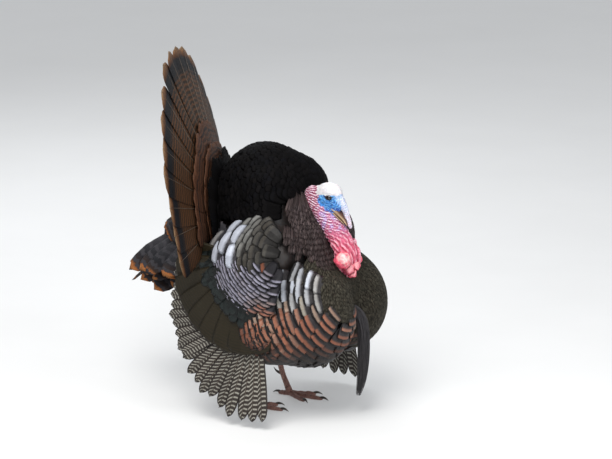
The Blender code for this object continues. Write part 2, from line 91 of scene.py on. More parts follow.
def put_mesh(name, points, quads, finish=None):
    """Mesh object from an array of points and an array of four-cornered faces."""
    mesh = bpy.data.meshes.new(name)
    mesh.vertices.add(len(points))
    mesh.vertices.foreach_set("co", np.asarray(points, np.float32).ravel())
    mesh.loops.add(4 * len(quads))
    mesh.loops.foreach_set("vertex_index", np.asarray(quads, np.int32).ravel())
    mesh.polygons.add(len(quads))
    mesh.polygons.foreach_set("loop_start", np.arange(0, 4 * len(quads), 4, dtype=np.int32))
    mesh.update(calc_edges=True)
    mesh.shade_smooth()
    if finish:
        mesh.materials.append(finish)
    made = bpy.data.objects.new(name, mesh)
    bpy.context.collection.objects.link(made)
    return made


def add_map(piece, name, places):
    """UV map of a piece from one (u, v) place for each of its points."""
    corners = np.empty(len(piece.data.loops), np.int32)
    piece.data.loops.foreach_get("vertex_index", corners)
    layer = piece.data.uv_layers.new(name=name)
    layer.uv.foreach_set("vector", np.asarray(places, np.float32)[corners].ravel())


def add_colour(piece, name, colours):
    """Colour attribute of a piece, one red, green, blue and alpha for each of its points."""
    layer = piece.data.color_attributes.new(name, "FLOAT_COLOR", "POINT")
    layer.data.foreach_set("color", np.asarray(colours, np.float32).ravel())


class Finish:
    """A material whose nodes are added one by one; its shader is the principled one."""

    def __init__(self, name, roughness, metallic=0.0, specular=0.5):
        """A new material with its three plain numbers set."""
        self.material = bpy.data.materials.new(name)
        self.material.use_nodes = True
        self.tree = self.material.node_tree
        self.shader = self.tree.nodes["Principled BSDF"]
        self.shader.inputs["Roughness"].default_value = roughness
        self.shader.inputs["Metallic"].default_value = metallic
        self.shader.inputs["Specular IOR Level"].default_value = specular

    def plug(self, value, socket):
        """Joins an output to a socket, or sets the socket to a plain number or colour."""
        if isinstance(value, bpy.types.NodeSocket):
            self.tree.links.new(value, socket)
        else:
            socket.default_value = value

    def math(self, kind, a, b=0.0):
        """One sum on numbers."""
        node = self.tree.nodes.new("ShaderNodeMath")
        node.operation = kind
        self.plug(a, node.inputs[0])
        self.plug(b, node.inputs[1])
        return node.outputs[0]

    def times(self, a, b):
        """Product of two numbers."""
        return self.math("MULTIPLY", a, b)

    def plus(self, a, b):
        """Sum of two numbers."""
        return self.math("ADD", a, b)

    def minus(self, a, b):
        """Difference of two numbers."""
        return self.math("SUBTRACT", a, b)

    def uv(self, name):
        """The two coordinates of a UV map."""
        node = self.tree.nodes.new("ShaderNodeUVMap")
        node.uv_map = name
        split = self.tree.nodes.new("ShaderNodeSeparateXYZ")
        self.tree.links.new(node.outputs[0], split.inputs[0])
        return node.outputs[0], split.outputs[0], split.outputs[1]

    def attribute(self, name):
        """A colour attribute, whole and split into its three numbers."""
        node = self.tree.nodes.new("ShaderNodeAttribute")
        node.attribute_name = name
        split = self.tree.nodes.new("ShaderNodeSeparateColor")
        self.tree.links.new(node.outputs["Color"], split.inputs[0])
        return node.outputs["Color"], split.outputs[0], split.outputs[1], split.outputs[2]

    def place(self):
        """Object coordinates."""
        return self.tree.nodes.new("ShaderNodeTexCoord").outputs["Object"]

    def noise(self, where, scale, detail=3.0, rough=0.55):
        """Cloudy noise from 0 to 1."""
        node = self.tree.nodes.new("ShaderNodeTexNoise")
        node.inputs["Scale"].default_value = scale
        node.inputs["Detail"].default_value = detail
        node.inputs["Roughness"].default_value = rough
        self.plug(where, node.inputs["Vector"])
        return node.outputs[0]

    def cells(self, where, scale, kind="F1"):
        """Distance to the nearest of many scattered points."""
        node = self.tree.nodes.new("ShaderNodeTexVoronoi")
        node.feature = kind
        node.inputs["Scale"].default_value = scale
        self.plug(where, node.inputs["Vector"])
        return node.outputs["Distance"]

    def ramp(self, value, stops):
        """Colours read off a scale: stops are (position, colour or grey)."""
        node = self.tree.nodes.new("ShaderNodeValToRGB")
        ends = node.color_ramp.elements
        while len(ends) < len(stops):
            ends.new(0.5)
        for end, (position, colour) in zip(ends, stops):
            end.position = position
            end.color = (*colour, 1.0) if isinstance(colour, tuple) else (colour, colour, colour, 1.0)
        self.plug(value, node.inputs[0])
        return node.outputs[0]

    def mix(self, share, first, second, kind="MIX"):
        """Blend of two colours."""
        node = self.tree.nodes.new("ShaderNodeMix")
        node.data_type = "RGBA"
        node.blend_type = kind
        self.plug(share, node.inputs[0])
        self.plug((*first, 1.0) if isinstance(first, tuple) else first, node.inputs[6])
        self.plug((*second, 1.0) if isinstance(second, tuple) else second, node.inputs[7])
        return node.outputs[2]

    def vector(self, x, y, z=0.0):
        """Three numbers joined into a vector."""
        node = self.tree.nodes.new("ShaderNodeCombineXYZ")
        self.plug(x, node.inputs[0])
        self.plug(y, node.inputs[1])
        self.plug(z, node.inputs[2])
        return node.outputs[0]

    def colour(self, value):
        """Sets the shader's colour."""
        self.plug(value, self.shader.inputs["Base Color"])

    def shaded(self, colour, shade):
        """Sets the shader's colour to a colour times a grey shade."""
        self.colour(self.mix(1.0, colour, self.vector(shade, shade, shade), "MULTIPLY"))

    def centred(self, value, size):
        """A number from 0 to 1 moved to lie about none, times a size."""
        return self.times(self.minus(value, 0.5), size)

    def bump(self, height, strength, distance):
        """Relief on the shader from a height."""
        node = self.tree.nodes.new("ShaderNodeBump")
        node.inputs["Strength"].default_value = strength
        node.inputs["Distance"].default_value = distance
        self.plug(height, node.inputs["Height"])
        self.tree.links.new(node.outputs[0], self.shader.inputs["Normal"])


floor_finish = Finish("floor_paint", 0.8)
floor_cloud = floor_finish.noise(floor_finish.place(), 3.0)
floor_finish.colour(floor_finish.ramp(floor_cloud, [(0.3, (0.61, 0.61, 0.606)), (0.7, (0.63, 0.63, 0.627))]))
floor_finish.shader.inputs["Emission Color"].default_value = (0.97, 0.985, 1.0, 1.0)
floor_finish.shader.inputs["Emission Strength"].default_value = 0.24
FLOOR_REACH = 30.0
FLOOR_SIDES = 96
FLOOR_RINGS = 12
floor_turn = np.linspace(0.0, 2 * math.pi, FLOOR_SIDES, endpoint=False)
floor_out = FLOOR_REACH * np.linspace(0.001, 1.0, FLOOR_RINGS) ** 2
floor_points = np.stack([
    floor_out[:, None] * np.cos(floor_turn),
    floor_out[:, None] * np.sin(floor_turn),
    np.zeros((FLOOR_RINGS, FLOOR_SIDES)),
], -1).reshape(-1, 3)
floor_index = np.arange(FLOOR_RINGS * FLOOR_SIDES).reshape(FLOOR_RINGS, FLOOR_SIDES)
floor_next = np.roll(floor_index, -1, axis=1)
floor_quads = np.stack([floor_index[:-1], floor_index[1:], floor_next[1:], floor_next[:-1]], -1).reshape(-1,
                                                                                                         4)
middle_turn = np.arange(FLOOR_SIDES // 2 - 1)
floor_middle = np.stack([middle_turn, middle_turn + 1, FLOOR_SIDES - 2 - middle_turn,
                         FLOOR_SIDES - 1 - middle_turn], -1)
floor = put_mesh("floor", floor_points, np.vstack([floor_quads, floor_middle]), floor_finish.material)

world = bpy.data.worlds.new("studio")
world.use_nodes = True
world.node_tree.nodes["Background"].inputs[0].default_value = (0.93, 0.96, 1.0, 1.0)
world.node_tree.nodes["Background"].inputs[1].default_value = 0.42
bpy.context.scene.world = world


LAMP_AIM = 0.35                 # height on the bird that the lamps look at


def lamp(name, place, size, power, tint):
    """Square soft lamp that faces the middle of the bird."""
    light = bpy.data.lights.new(name, "AREA")
    light.size = size
    light.energy = power
    light.color = tint
    held = bpy.data.objects.new(name, light)
    bpy.context.collection.objects.link(held)
    held.location = HOME + np.array(place)
    aim = held.location.copy()
    aim.x -= HOME[0]
    aim.y -= HOME[1]
    aim.z -= HOME[2] + LAMP_AIM
    held.rotation_euler = aim.to_track_quat("Z", "Y").to_euler()


lamp("key_lamp", (0.2, -1.7, 2.8), 1.8, 95.0, (1.0, 0.985, 0.96))
lamp("front_lamp", (2.4, -0.6, 1.5), 1.6, 24.0, (0.97, 0.985, 1.0))
lamp("back_lamp", (-1.8, 1.6, 2.2), 1.8, 30.0, (0.95, 0.975, 1.0))

# ---------------------------------------------------------------- skin
# The flesh under the feathers, and the bare head, neck, wattles and snood, are one skin.
# It lies a coat's depth inside the feathered shape, and at its surface where the bird is bare.
# Folds, lobes and lids are part of it, and the eyes sit in its sockets.
COAT_DEPTH = 0.012
BODY_SOFTNESS = 0.012
TRUNK = (
    ((-0.060, 0.0, 0.310), (0.165, 0.158, 0.185)),      # belly and ribs
    ((-0.088, 0.0, 0.440), (0.123, 0.128, 0.182)),      # raised back
    ((-0.140, 0.0, 0.420), (0.078, 0.095, 0.150)),      # rump
    ((0.065, -0.006, 0.310), (0.068, 0.058, 0.080)),    # crop
)
TRUNK_PAIRS = (
    ((0.060, 0.080, 0.250), (0.120, 0.090, 0.122)),     # breast lobes
    ((-0.042, 0.068, 0.492), (0.070, 0.072, 0.088)),    # shoulders of the raised back
    ((-0.005, 0.050, 0.455), (0.048, 0.045, 0.070)),    # mantle beside the head
    ((0.045, 0.052, 0.405), (0.045, 0.045, 0.060)),     # mantle beside the neck
)
WING_PAIRS = (
    ((-0.015, 0.128, 0.395), (0.082, 0.060, 0.080)),    # shoulder
    ((-0.052, 0.150, 0.335), (0.085, 0.066, 0.110)),    # coverts over the arm
    ((-0.095, 0.135, 0.375), (0.060, 0.056, 0.060)),    # inner coverts
)
FOOT_X = {"right": -0.100, "left": -0.062}
LEG_Y = 0.062


def both_sides(pairs):
    """Round masses given for the left side, with their mirror images."""
    return tuple(((c[0], c[1] * s, c[2]), r) for c, r in pairs for s in (1, -1))


def mass_depth(points, masses, softness):
    """Soft union: -s log(sum exp(-d/s)), with d = (|(p - centre) / radii| - 1) x smallest radius."""
    total = 0.0
    for centre, radii in masses:
        gap = sum(((points[i] - centre[i]) / radii[i]) ** 2 for i in range(3))
        depth = (np.sqrt(gap) - 1) * min(radii)
        total = total + np.exp(np.clip(-depth / softness, -80, 80))
    return -softness * np.log(total)


TRUNK_MASSES = TRUNK + both_sides(TRUNK_PAIRS)
COAT_MASSES = TRUNK_MASSES + both_sides(WING_PAIRS)


def split(points):
    """Rows of (x, y, z) as three arrays."""
    return points[..., 0], points[..., 1], points[..., 2]


FLANK_PAIRS = (
    ((0.004, 0.138, 0.228), (0.085, 0.088, 0.085)),     # side feathers that lie over the wing's front
)
FLANK_Y = 0.217


def flank(x, z):
    """Distance of the hanging wing from the middle plane: fullest low down, closing behind."""
    rear = np.maximum(-0.02 - x, 0)
    fore = np.maximum(x + 0.02, 0)
    over = np.maximum(z - 0.24, 0)
    below = np.maximum(0.24 - z, 0)
    return FLANK_Y - 0.35 * rear**2 - 1.1 * fore**2 - 1.3 * over**2 + 0.10 * below


def trunk_field(points):
    """Outer level of the trunk's feathers."""
    return mass_depth(split(points), TRUNK_MASSES, BODY_SOFTNESS)


def coat_field(points):
    """Outer level of the feathers over trunk and wings together."""
    return mass_depth(split(points), COAT_MASSES, BODY_SOFTNESS)


def breast_field(points):
    """Outer level of the breast and side feathers, which lap over the front of the wing."""
    return mass_depth(split(points), COAT_MASSES + both_sides(FLANK_PAIRS), BODY_SOFTNESS)


def wing_field(points):
    """Outer level of the wing's coverts: the coat, filled out to the hanging wing's own sheet."""
    x, y, z = split(points)
    return blend_union(coat_field(points), np.abs(y) - flank(x, z) - 0.003, 0.012)


def thigh_masses(side, sign):
    """Four balls down the drumstick, from inside the belly to the hock."""
    x = FOOT_X[side]
    y = LEG_Y * sign
    return (
        ((x + 0.006, y, 0.190), (0.036, 0.034, 0.045)),
        ((x - 0.012, y, 0.158), (0.027, 0.025, 0.030)),
        ((x - 0.026, y, 0.130), (0.017, 0.016, 0.024)),
        ((x - 0.033, y, 0.112), (0.009, 0.009, 0.018)),
    )


def smooth_line(knots, steps):
    """Catmull-Rom curve through the knots, each a flat row of numbers."""
    knots = np.array(knots, float)
    padded = np.vstack([2 * knots[0] - knots[1], knots, 2 * knots[-1] - knots[-2]])
    spans = len(knots) - 1
    t = np.linspace(0, spans, steps)
    k = np.minimum(t.astype(int), spans - 1)
    u = (t - k)[:, None]
    a, b, c, d = padded[k], padded[k + 1], padded[k + 2], padded[k + 3]
    return 0.5 * (2 * b + (c - a) * u + (2 * a - 5 * b + 4 * c - d) * u**2 + (3 * b - a - 3 * c + d) * u**3)


def unit(vectors):
    """Vectors made one long."""
    return vectors / np.maximum(np.linalg.norm(vectors, axis=-1, keepdims=True), 1e-9)


HEAD_MASSES = (
    ((0.0852, HEAD_Y, 0.5240), (0.0300, 0.0190, 0.0270)),   # crown
    ((0.1010, HEAD_Y, 0.5310), (0.0160, 0.0130, 0.0170)),   # forehead
    ((0.0455, HEAD_Y, 0.5100), (0.0235, 0.0190, 0.0285)),   # nape
    ((0.1035, HEAD_Y, 0.5030), (0.0180, 0.0140, 0.0200)),   # face, round the foot of the bill
    ((0.0771, HEAD_Y, 0.4868), (0.0255, 0.0170, 0.0265)),   # throat
)
BROW_MASSES = tuple(
    ((x, HEAD_Y + s * y, z), (0.0070, 0.0036, 0.0028))
    for s in (1, -1)
    for x, y, z in ((0.086, 0.0150, 0.5325), (0.095, 0.0148, 0.5322), (0.103, 0.0120, 0.5290))
)
NECK_LINE = smooth_line((
    (0.0590, HEAD_Y, 0.4950, 0.0200),
    (0.0765, HEAD_Y, 0.4720, 0.0238),
    (0.1005, HEAD_Y, 0.4440, 0.0250),
    (0.1205, -0.016, 0.4120, 0.0248),
    (0.1280, -0.012, 0.3780, 0.0252),
    (0.1150, -0.008, 0.3450, 0.0260),
    (0.0900, -0.006, 0.3250, 0.0230),
), 56)
SNOOD_LINE = smooth_line((
    (0.0945, -0.0180, 0.5285, 0.0055),
    (0.1060, -0.0180, 0.5260, 0.0080),
    (0.1150, -0.0165, 0.5165, 0.0090),
    (0.1215, -0.0140, 0.5020, 0.0088),
    (0.1268, -0.0115, 0.4865, 0.0074),
    (0.1308, -0.0100, 0.4720, 0.0066),
    (0.1352, -0.0090, 0.4590, 0.0056),
    (0.1380, -0.0090, 0.4510, 0.0036),
), 34)
CARUNCLES = (
    ((0.1372, -0.0440, 0.3785), 0.0195),        # the big ball on the right
    ((0.1455, -0.0290, 0.3560), 0.0128),
    ((0.1490, -0.0205, 0.3445), 0.0108),
    ((0.1500, -0.0070, 0.3590), 0.0112),
    ((0.1400, 0.0120, 0.3700), 0.0150),
    ((0.1320, 0.0210, 0.3540), 0.0125),
    ((0.1340, -0.0100, 0.3450), 0.0130),
)
WATTLES = np.vstack([smooth_line(knots, 14) for knots in (
    ((0.1370, 0.000, 0.4200, 0.0016), (0.1460, 0.000, 0.4000, 0.0046), (0.1515, 0.000, 0.3810, 0.0062),
     (0.1490, 0.000, 0.3580, 0.0048)),
    ((0.1360, -0.012, 0.4200, 0.0014), (0.1460, -0.012, 0.3990, 0.0044), (0.1498, -0.012, 0.3800, 0.0056),
     (0.1475, -0.012, 0.3610, 0.0042)),
    ((0.1320, -0.024, 0.4260, 0.0012), (0.1405, -0.024, 0.4080, 0.0038), (0.1445, -0.024, 0.3910, 0.0048),
     (0.1440, -0.022, 0.3750, 0.0036)),
    ((0.1360, 0.012, 0.4180, 0.0016), (0.1440, 0.013, 0.3960, 0.0046), (0.1470, 0.014, 0.3790, 0.0056),
     (0.1440, 0.014, 0.3600, 0.0042)),
)])


def balls_depth(points, balls):
    """Distance outside the nearest of a row of balls, given as x, y, z and radius."""
    nearest = np.full(np.broadcast(*points).shape, 1.0, np.float32)
    for x, y, z, radius in balls:
        gap = np.sqrt((points[0] - x) ** 2 + (points[1] - y) ** 2 + (points[2] - z) ** 2) - radius
        nearest = np.minimum(nearest, gap)
    return nearest


def blend_union(first, second, softness):
    """Soft minimum of two fields."""
    share = np.clip(0.5 + 0.5 * (second - first) / softness, 0, 1)
    return second * (1 - share) + first * share - softness * share * (1 - share)


LID_LONG = 0.82                 # the lid's opening is a ring, longer than it is high
LID_HIGH = 1.25
LID_REACH = 0.0064
LID_OUT = 0.0042
LID_THICK = 0.0017
SOCKET_RADIUS = 0.0076
SOCKET_MOUTH = 0.0052


def head_field(points):
    """Head, neck, snood, wattles and lobes: soft unions, less the eye sockets, plus the lids."""
    head = mass_depth(points, HEAD_MASSES, 0.004)
    head = blend_union(head, mass_depth(points, BROW_MASSES, 0.0012), 0.003)
    neck = balls_depth(points, NECK_LINE)
    close = np.abs(neck) < 0.012
    closest = [part[close] for part in np.broadcast_arrays(*points)]
    neck[close] = blend_union(neck[close], balls_depth(closest, WATTLES), 0.0014)
    flesh = blend_union(head, neck, 0.006)
    lobes = balls_depth(points, [(*c, r) for c, r in CARUNCLES])
    flesh = blend_union(flesh, lobes, 0.0012)
    flesh = blend_union(flesh, balls_depth(points, SNOOD_LINE), 0.0022)
    for sign in (1, -1):
        x, y, z = EYE_PLACE[0], HEAD_Y + EYE_PLACE[1] * sign, EYE_PLACE[2]
        out = (points[1] - y) * sign
        flat = np.sqrt(((points[0] - x) * LID_LONG) ** 2 + ((points[2] - z) * LID_HIGH) ** 2)
        rim = np.sqrt((flat - LID_REACH) ** 2 + (out - LID_OUT) ** 2) - LID_THICK
        flesh = blend_union(flesh, rim, 0.0012)
        gap = np.sqrt((points[0] - x) ** 2 + (points[1] - y) ** 2 + (points[2] - z) ** 2)
        hole = gap - SOCKET_RADIUS
        mouth = np.maximum(flat - SOCKET_MOUTH, -out)
        flesh = np.maximum(flesh, -np.minimum(hole, mouth))
    return flesh


def body_skin_field(points):
    """The feathered parts' flesh, a coat's depth inside their outer level."""
    body = mass_depth(points, COAT_MASSES, BODY_SOFTNESS) + COAT_DEPTH
    for side, sign in (("left", 1), ("right", -1)):
        body = blend_union(body, mass_depth(points, thigh_masses(side, sign), 0.008) + 0.003, 0.01)
    return body


FINE_LOW = np.array((0.020, -0.068, 0.330))
FINE_HIGH = np.array((0.162, 0.040, 0.560))


def skin_field(points):
    """Body and head fields together; the head's is worked out only near the head."""
    points = [np.asarray(p, np.float32) for p in points]
    body = body_skin_field(points)
    shape = np.broadcast(*points).shape
    whole = np.broadcast_to(body, shape).copy()
    if points[0].ndim == 3:
        spans = []
        for axis in range(3):
            line = points[axis].ravel()
            near = np.nonzero((line > FINE_LOW[axis] - 1e-4) & (line < FINE_HIGH[axis] + 1e-4))[0]
            spans.append(slice(near[0], near[-1] + 1))
        block = [points[0][spans[0]], points[1][:, spans[1]], points[2][:, :, spans[2]]]
        whole[spans[0], spans[1], spans[2]] = blend_union(whole[spans[0], spans[1], spans[2]],
                                                          head_field(block), 0.006)
        return whole
    near = np.all([(points[i] > FINE_LOW[i] - 0.002) & (points[i] < FINE_HIGH[i] + 0.002)
                   for i in range(3)], axis=0)
    whole[near] = blend_union(whole[near], head_field([p[near] for p in points]), 0.006)
    return whole


def grid_line(low, high, fine_low, fine_high, coarse, fine):
    """Coordinates from low to high, close together between fine_low and fine_high."""
    before = np.linspace(low, fine_low, max(int((fine_low - low) / coarse), 1) + 1)[:-1]
    middle = np.linspace(fine_low, fine_high, int(round((fine_high - fine_low) / fine)) + 1)
    after = np.linspace(fine_high, high, max(int((high - fine_high) / coarse), 1) + 1)[1:]
    return np.concatenate([before, middle, after]).astype(np.float32)


def surface_net(field, lines):
    """Closed surface where the field is zero.

    Each grid cell that the surface crosses has one point, the mean of the crossings on the
    cell's edges, and each crossed grid edge has one face over the four cells round it.
    """
    values = field([lines[0][:, None, None], lines[1][None, :, None], lines[2][None, None, :]])
    inside = values < 0
    corners = [(i, j, k) for i in (0, 1) for j in (0, 1) for k in (0, 1)]
    size = [n - 1 for n in values.shape]
    counted = sum(
        inside[i:size[0] + i, j:size[1] + j, k:size[2] + k].astype(np.int8) for i, j, k in corners
    )
    cells = np.argwhere((counted > 0) & (counted < 8))
    number = np.full(size, -1, np.int64)
    number[tuple(cells.T)] = np.arange(len(cells))
    total = np.zeros((len(cells), 3))
    count = np.zeros(len(cells))
    for first in range(8):
        for second in range(first + 1, 8):
            a, b = np.array(corners[first]), np.array(corners[second])
            if np.abs(a - b).sum() != 1:
                continue
            at, bt = cells + a, cells + b
            va, vb = values[tuple(at.T)], values[tuple(bt.T)]
            crossed = (va < 0) != (vb < 0)
            share = np.where(crossed, va / np.where(crossed, va - vb, 1), 0)[:, None]
            pa = np.stack([lines[i][at[:, i]] for i in range(3)], 1)
            pb = np.stack([lines[i][bt[:, i]] for i in range(3)], 1)
            total += np.where(crossed[:, None], pa + share * (pb - pa), 0)
            count += crossed
    quads = []
    for axis in range(3):
        u, v = [(1, 2), (2, 0), (0, 1)][axis]
        low = [slice(None)] * 3
        high = [slice(None)] * 3
        low[axis], high[axis] = slice(None, -1), slice(1, None)
        here, after = inside[tuple(low)], inside[tuple(high)]
        edges = np.argwhere(here != after)
        edges = edges[(edges[:, u] > 0) & (edges[:, v] > 0)]
        edges = edges[(edges[:, u] < size[u]) & (edges[:, v] < size[v])]
        outward = here[tuple(edges.T)]
        ring = []
        for du, dv in ((-1, -1), (0, -1), (0, 0), (-1, 0)):
            cell = edges.copy()
            cell[:, u] += du
            cell[:, v] += dv
            ring.append(number[tuple(cell.T)])
        ring = np.stack(ring, 1)
        quads.append(np.where(outward[:, None], ring, ring[:, ::-1]))
    return total / count[:, None], np.vstack(quads)


def slope(field, points):
    """Gradient of a field by differences over half a millimetre each way."""
    step = 0.0005
    shifts = step * np.eye(3)
    return np.stack([field(points + s) - field(points - s) for s in shifts], -1) / (2 * step)


def settled(field, points, level=0.0, rounds=2):
    """Points moved along the slope until the field reads the level (Newton's rule)."""
    for _ in range(rounds):
        rise = slope(field, points)
        steep = np.maximum((rise**2).sum(-1, keepdims=True), 0.05)
        points = points - rise * np.clip((field(points) - level)[..., None], -0.01, 0.01) / steep
    return points


SKIN_STEP = 0.00148             # between grid lines on the head and neck
COARSE_STEP = 0.014             # between grid lines elsewhere
skin_lines = (
    grid_line(-0.28, 0.21, FINE_LOW[0], FINE_HIGH[0], COARSE_STEP, SKIN_STEP),
    grid_line(-0.25, 0.25, FINE_LOW[1], FINE_HIGH[1], COARSE_STEP, SKIN_STEP),
    grid_line(0.085, 0.66, FINE_LOW[2], FINE_HIGH[2], COARSE_STEP, SKIN_STEP),
)
skin_points, skin_quads = surface_net(skin_field, skin_lines)


def skin_by_rows(points):
    """The skin field for rows of (x, y, z)."""
    return skin_field(split(points)).astype(float)


skin_points = settled(skin_by_rows, skin_points, 0.0, 2)
skin_normals = unit(slope(skin_by_rows, skin_points))


def smooth_step(values, low, high):
    """Zero below low, one above high, and a smooth rise between."""
    share = np.clip((values - low) / (high - low), 0, 1)
    return share * share * (3 - 2 * share)


def waves(first, second, spacing, heading, spread, seed, count=16):
    """Uneven ridges on a surface with two lengths as its coordinates.

    A sum of cosines whose crests run about the heading (degrees from the first coordinate
    towards the second), give or take the spread in radians; its mean is none, its deviation one.
    """
    picker = np.random.default_rng(seed)
    total = 0.0
    for _ in range(count):
        turn = math.radians(heading + 90) + picker.normal(0, spread)
        pace = 2 * math.pi / spacing * picker.uniform(0.65, 1.5)
        total = total + np.cos(pace * (first * math.cos(turn) + second * math.sin(turn))
                               + picker.uniform(0, 6.28))
    return total / math.sqrt(count / 2)


def clouds(points, size, seed, count=20):
    """Even blotches of a size: a sum of cosines in every direction, deviation of one."""
    picker = np.random.default_rng(seed)
    ways = unit(picker.normal(0, 1, (count, 3))) * picker.uniform(0.7, 1.3, (count, 1)) * 2 * math.pi / size
    return np.cos(points @ ways.T + picker.uniform(0, 6.28, count)).sum(1) / math.sqrt(count / 2)


# places on the head: how far down the neck and how far round from the nape
NECK_ROUND = 0.023              # middling radius of the neck
x, y, z = split(skin_points)
bare = np.all([(skin_points[:, i] > FINE_LOW[i]) & (skin_points[:, i] < FINE_HIGH[i]) for i in range(3)],
              axis=0)
bare &= coat_field(skin_points) > -0.010
axis = NECK_LINE[:, :3]
lengths = np.concatenate([[0.0], np.cumsum(np.linalg.norm(np.diff(axis, axis=0), axis=1))])
nearest = np.zeros(len(skin_points), int)
rows = np.nonzero(bare)[0]
for part in np.array_split(rows, max(len(rows) // 4000, 1)):
    nearest[part] = ((skin_points[part][:, None] - axis[None]) ** 2).sum(-1).argmin(1)
along = unit(np.gradient(axis, axis=0))[nearest]
offset = skin_points - axis[nearest]
fore = np.cross(np.broadcast_to((0.0, -1.0, 0.0), along.shape), along)
down_neck = lengths[nearest] + (offset * along).sum(-1)
from_nape = NECK_ROUND * np.arctan2(np.abs(offset[:, 1]), -(offset * fore).sum(-1))

# shares of the differently coloured parts of the head, with uneven edges
edge = 0.0011 * clouds(skin_points, 0.012, 31)
lobe_share = np.clip(-balls_depth(split(skin_points), [(*c, r + 0.0012) for c, r in CARUNCLES]) / 0.0010, 0,
                     1)
snood_share = np.clip(-balls_depth(split(skin_points), SNOOD_LINE + (0, 0, 0, 0.0012)) / 0.0010, 0, 1)
snood_share *= smooth_step(x, 0.104, 0.116)
crown_share = smooth_step(z + edge * 0.5 - 0.06 * (x - 0.09), 0.5248, 0.5268)
crown_share *= smooth_step(x + 2 * edge + 0.35 * (z - 0.53), 0.058, 0.064)
snood_share *= 1 - crown_share * smooth_step(0.128 - x, 0.0, 0.006)
face_line = 0.482 + np.where(x < 0.094, 0.80 * (0.094 - x), 0.40 * (0.094 - x))
face_share = smooth_step(z + 1.5 * edge, face_line, face_line + 0.006)
face_share *= smooth_step(x + edge - 0.15 * (z - 0.52), 0.0675, 0.0715) * (1 - crown_share)
nape_share = (1 - face_share) * (1 - crown_share) * smooth_step(z, 0.450, 0.485)
down = smooth_step(0.475 - z, 0.0, 0.075)
pale_face = np.maximum(smooth_step(x + 1.5 * edge + 0.45 * (z - 0.51), 0.1135, 0.1205), snood_share)

# relief: fine slanting wrinkles above, long folds below, rings round the eye, a pitted snood
fine_wrinkle = waves(down_neck, from_nape, 0.0068, 30, 0.70, 33)
long_fold = waves(down_neck, from_nape, 0.0110, 26, 0.42, 34)
wrinkle = np.clip(fine_wrinkle * (1 - down) + long_fold * down, -1.8, 1.8)
pimples = clouds(skin_points, 0.0042, 35)
eye_gap = np.sqrt((x - EYE_PLACE[0]) ** 2 + ((z - EYE_PLACE[2]) * 1.2) ** 2)
ring = 1.4 * np.cos((eye_gap + 2.4 * edge) * 2 * math.pi / 0.0066 + 1.1 * clouds(skin_points, 0.009, 38))
ring *= smooth_step(eye_gap, 0.0085, 0.0110) * (0.80 + 0.25 * clouds(skin_points, 0.010, 39))
on_neck = (1 - face_share) * (1 - crown_share) * (1 - lobe_share) * (1 - snood_share)
relief = on_neck * wrinkle * (0.00085 + 0.00060 * down)
relief += 0.00030 * pimples * np.maximum(on_neck * (1 - 0.6 * down), 0.8 * pale_face * (1 - crown_share))
relief += 0.00065 * ring * face_share * (1 - pale_face)
relief += 0.00012 * pimples * crown_share
relief += 0.00080 * clouds(skin_points, 0.013, 40) * lobe_share
relief += 0.00050 * np.cos(skin_points[:, 2] * 2 * math.pi / 0.0056 + 1.3 * pimples) * snood_share
ear_gap = np.sqrt((x - 0.0700) ** 2 + (z - 0.5120) ** 2)
relief -= 0.0020 * (1 - smooth_step(ear_gap, 0.0012, 0.0030))
eye_near = 1 - smooth_step(eye_gap, 0.0085, 0.0105)
relief *= 1 - eye_near
relief[~bare] = 0.0
skin_points = skin_points + skin_normals * relief[:, None]


def layered(base, *layers):
    """A colour for every point, with further colours laid over it by their shares."""
    colours = np.broadcast_to(np.array(base, float), (len(skin_points), 3)).copy()
    for share, colour in layers:
        colours += (np.array(colour) - colours) * np.clip(share, 0, 1)[:, None]
    return colours


# Colour follows the wrinkles: the crests are paler, partly the skin's own pale tint and partly painted
# highlight, and the grooves between them are darkened as painted shade.
ridge_pale_and_highlight = smooth_step(wrinkle, 0.1, 1.3)
groove_shade = smooth_step(-wrinkle, 0.1, 1.3)
dots = smooth_step(pimples, 0.2, 1.2)
lilac = on_neck * smooth_step(z, 0.436, 0.456) * smooth_step(0.500 - z, 0.0, 0.014) * smooth_step(x, 0.058,
                                                                                                  0.078)
lilac *= smooth_step(clouds(skin_points, 0.017, 37), -0.4, 0.8)
lobe_gaps = np.sort([np.linalg.norm(skin_points - np.array(c), axis=1) - r for c, r in CARUNCLES], axis=0)
# Painted shade in the creases where two lobes meet.
crease_shade = lobe_share * (1 - smooth_step(lobe_gaps[1] - lobe_gaps[0], 0.0006, 0.0030)) * (lobe_gaps[1] < 0.004)
# Painted highlight on the side of each smaller lobe that faces up, forward and to the right, towards the
# light.
lobe_highlight = np.zeros(len(skin_points))
for middle, radius in CARUNCLES[1:]:
    lobe_facing = unit(skin_points - np.array(middle)) @ unit(np.array((0.50, -0.70, 0.50)))
    on_lobe = np.linalg.norm(skin_points - np.array(middle), axis=1) - radius < lobe_gaps[0] + 0.0005
    lobe_highlight = np.maximum(lobe_highlight, on_lobe * smooth_step(lobe_facing, 0.25, 0.95))
# Painted highlight: a pale patch on the big ball's upper right front, the side that faces the light.
ball_middle, ball_radius = np.array(CARUNCLES[0][0]), CARUNCLES[0][1]
ball_toward_light = unit(skin_points - ball_middle) @ unit(np.array((0.62, -0.48, 0.62)))
ball_highlight = smooth_step(ball_toward_light + 0.16 * clouds(skin_points, 0.011, 36), 0.25, 1.0)
ball_highlight *= np.clip(1 - (np.linalg.norm(skin_points - ball_middle, axis=1) - ball_radius) / 0.002, 0, 1)
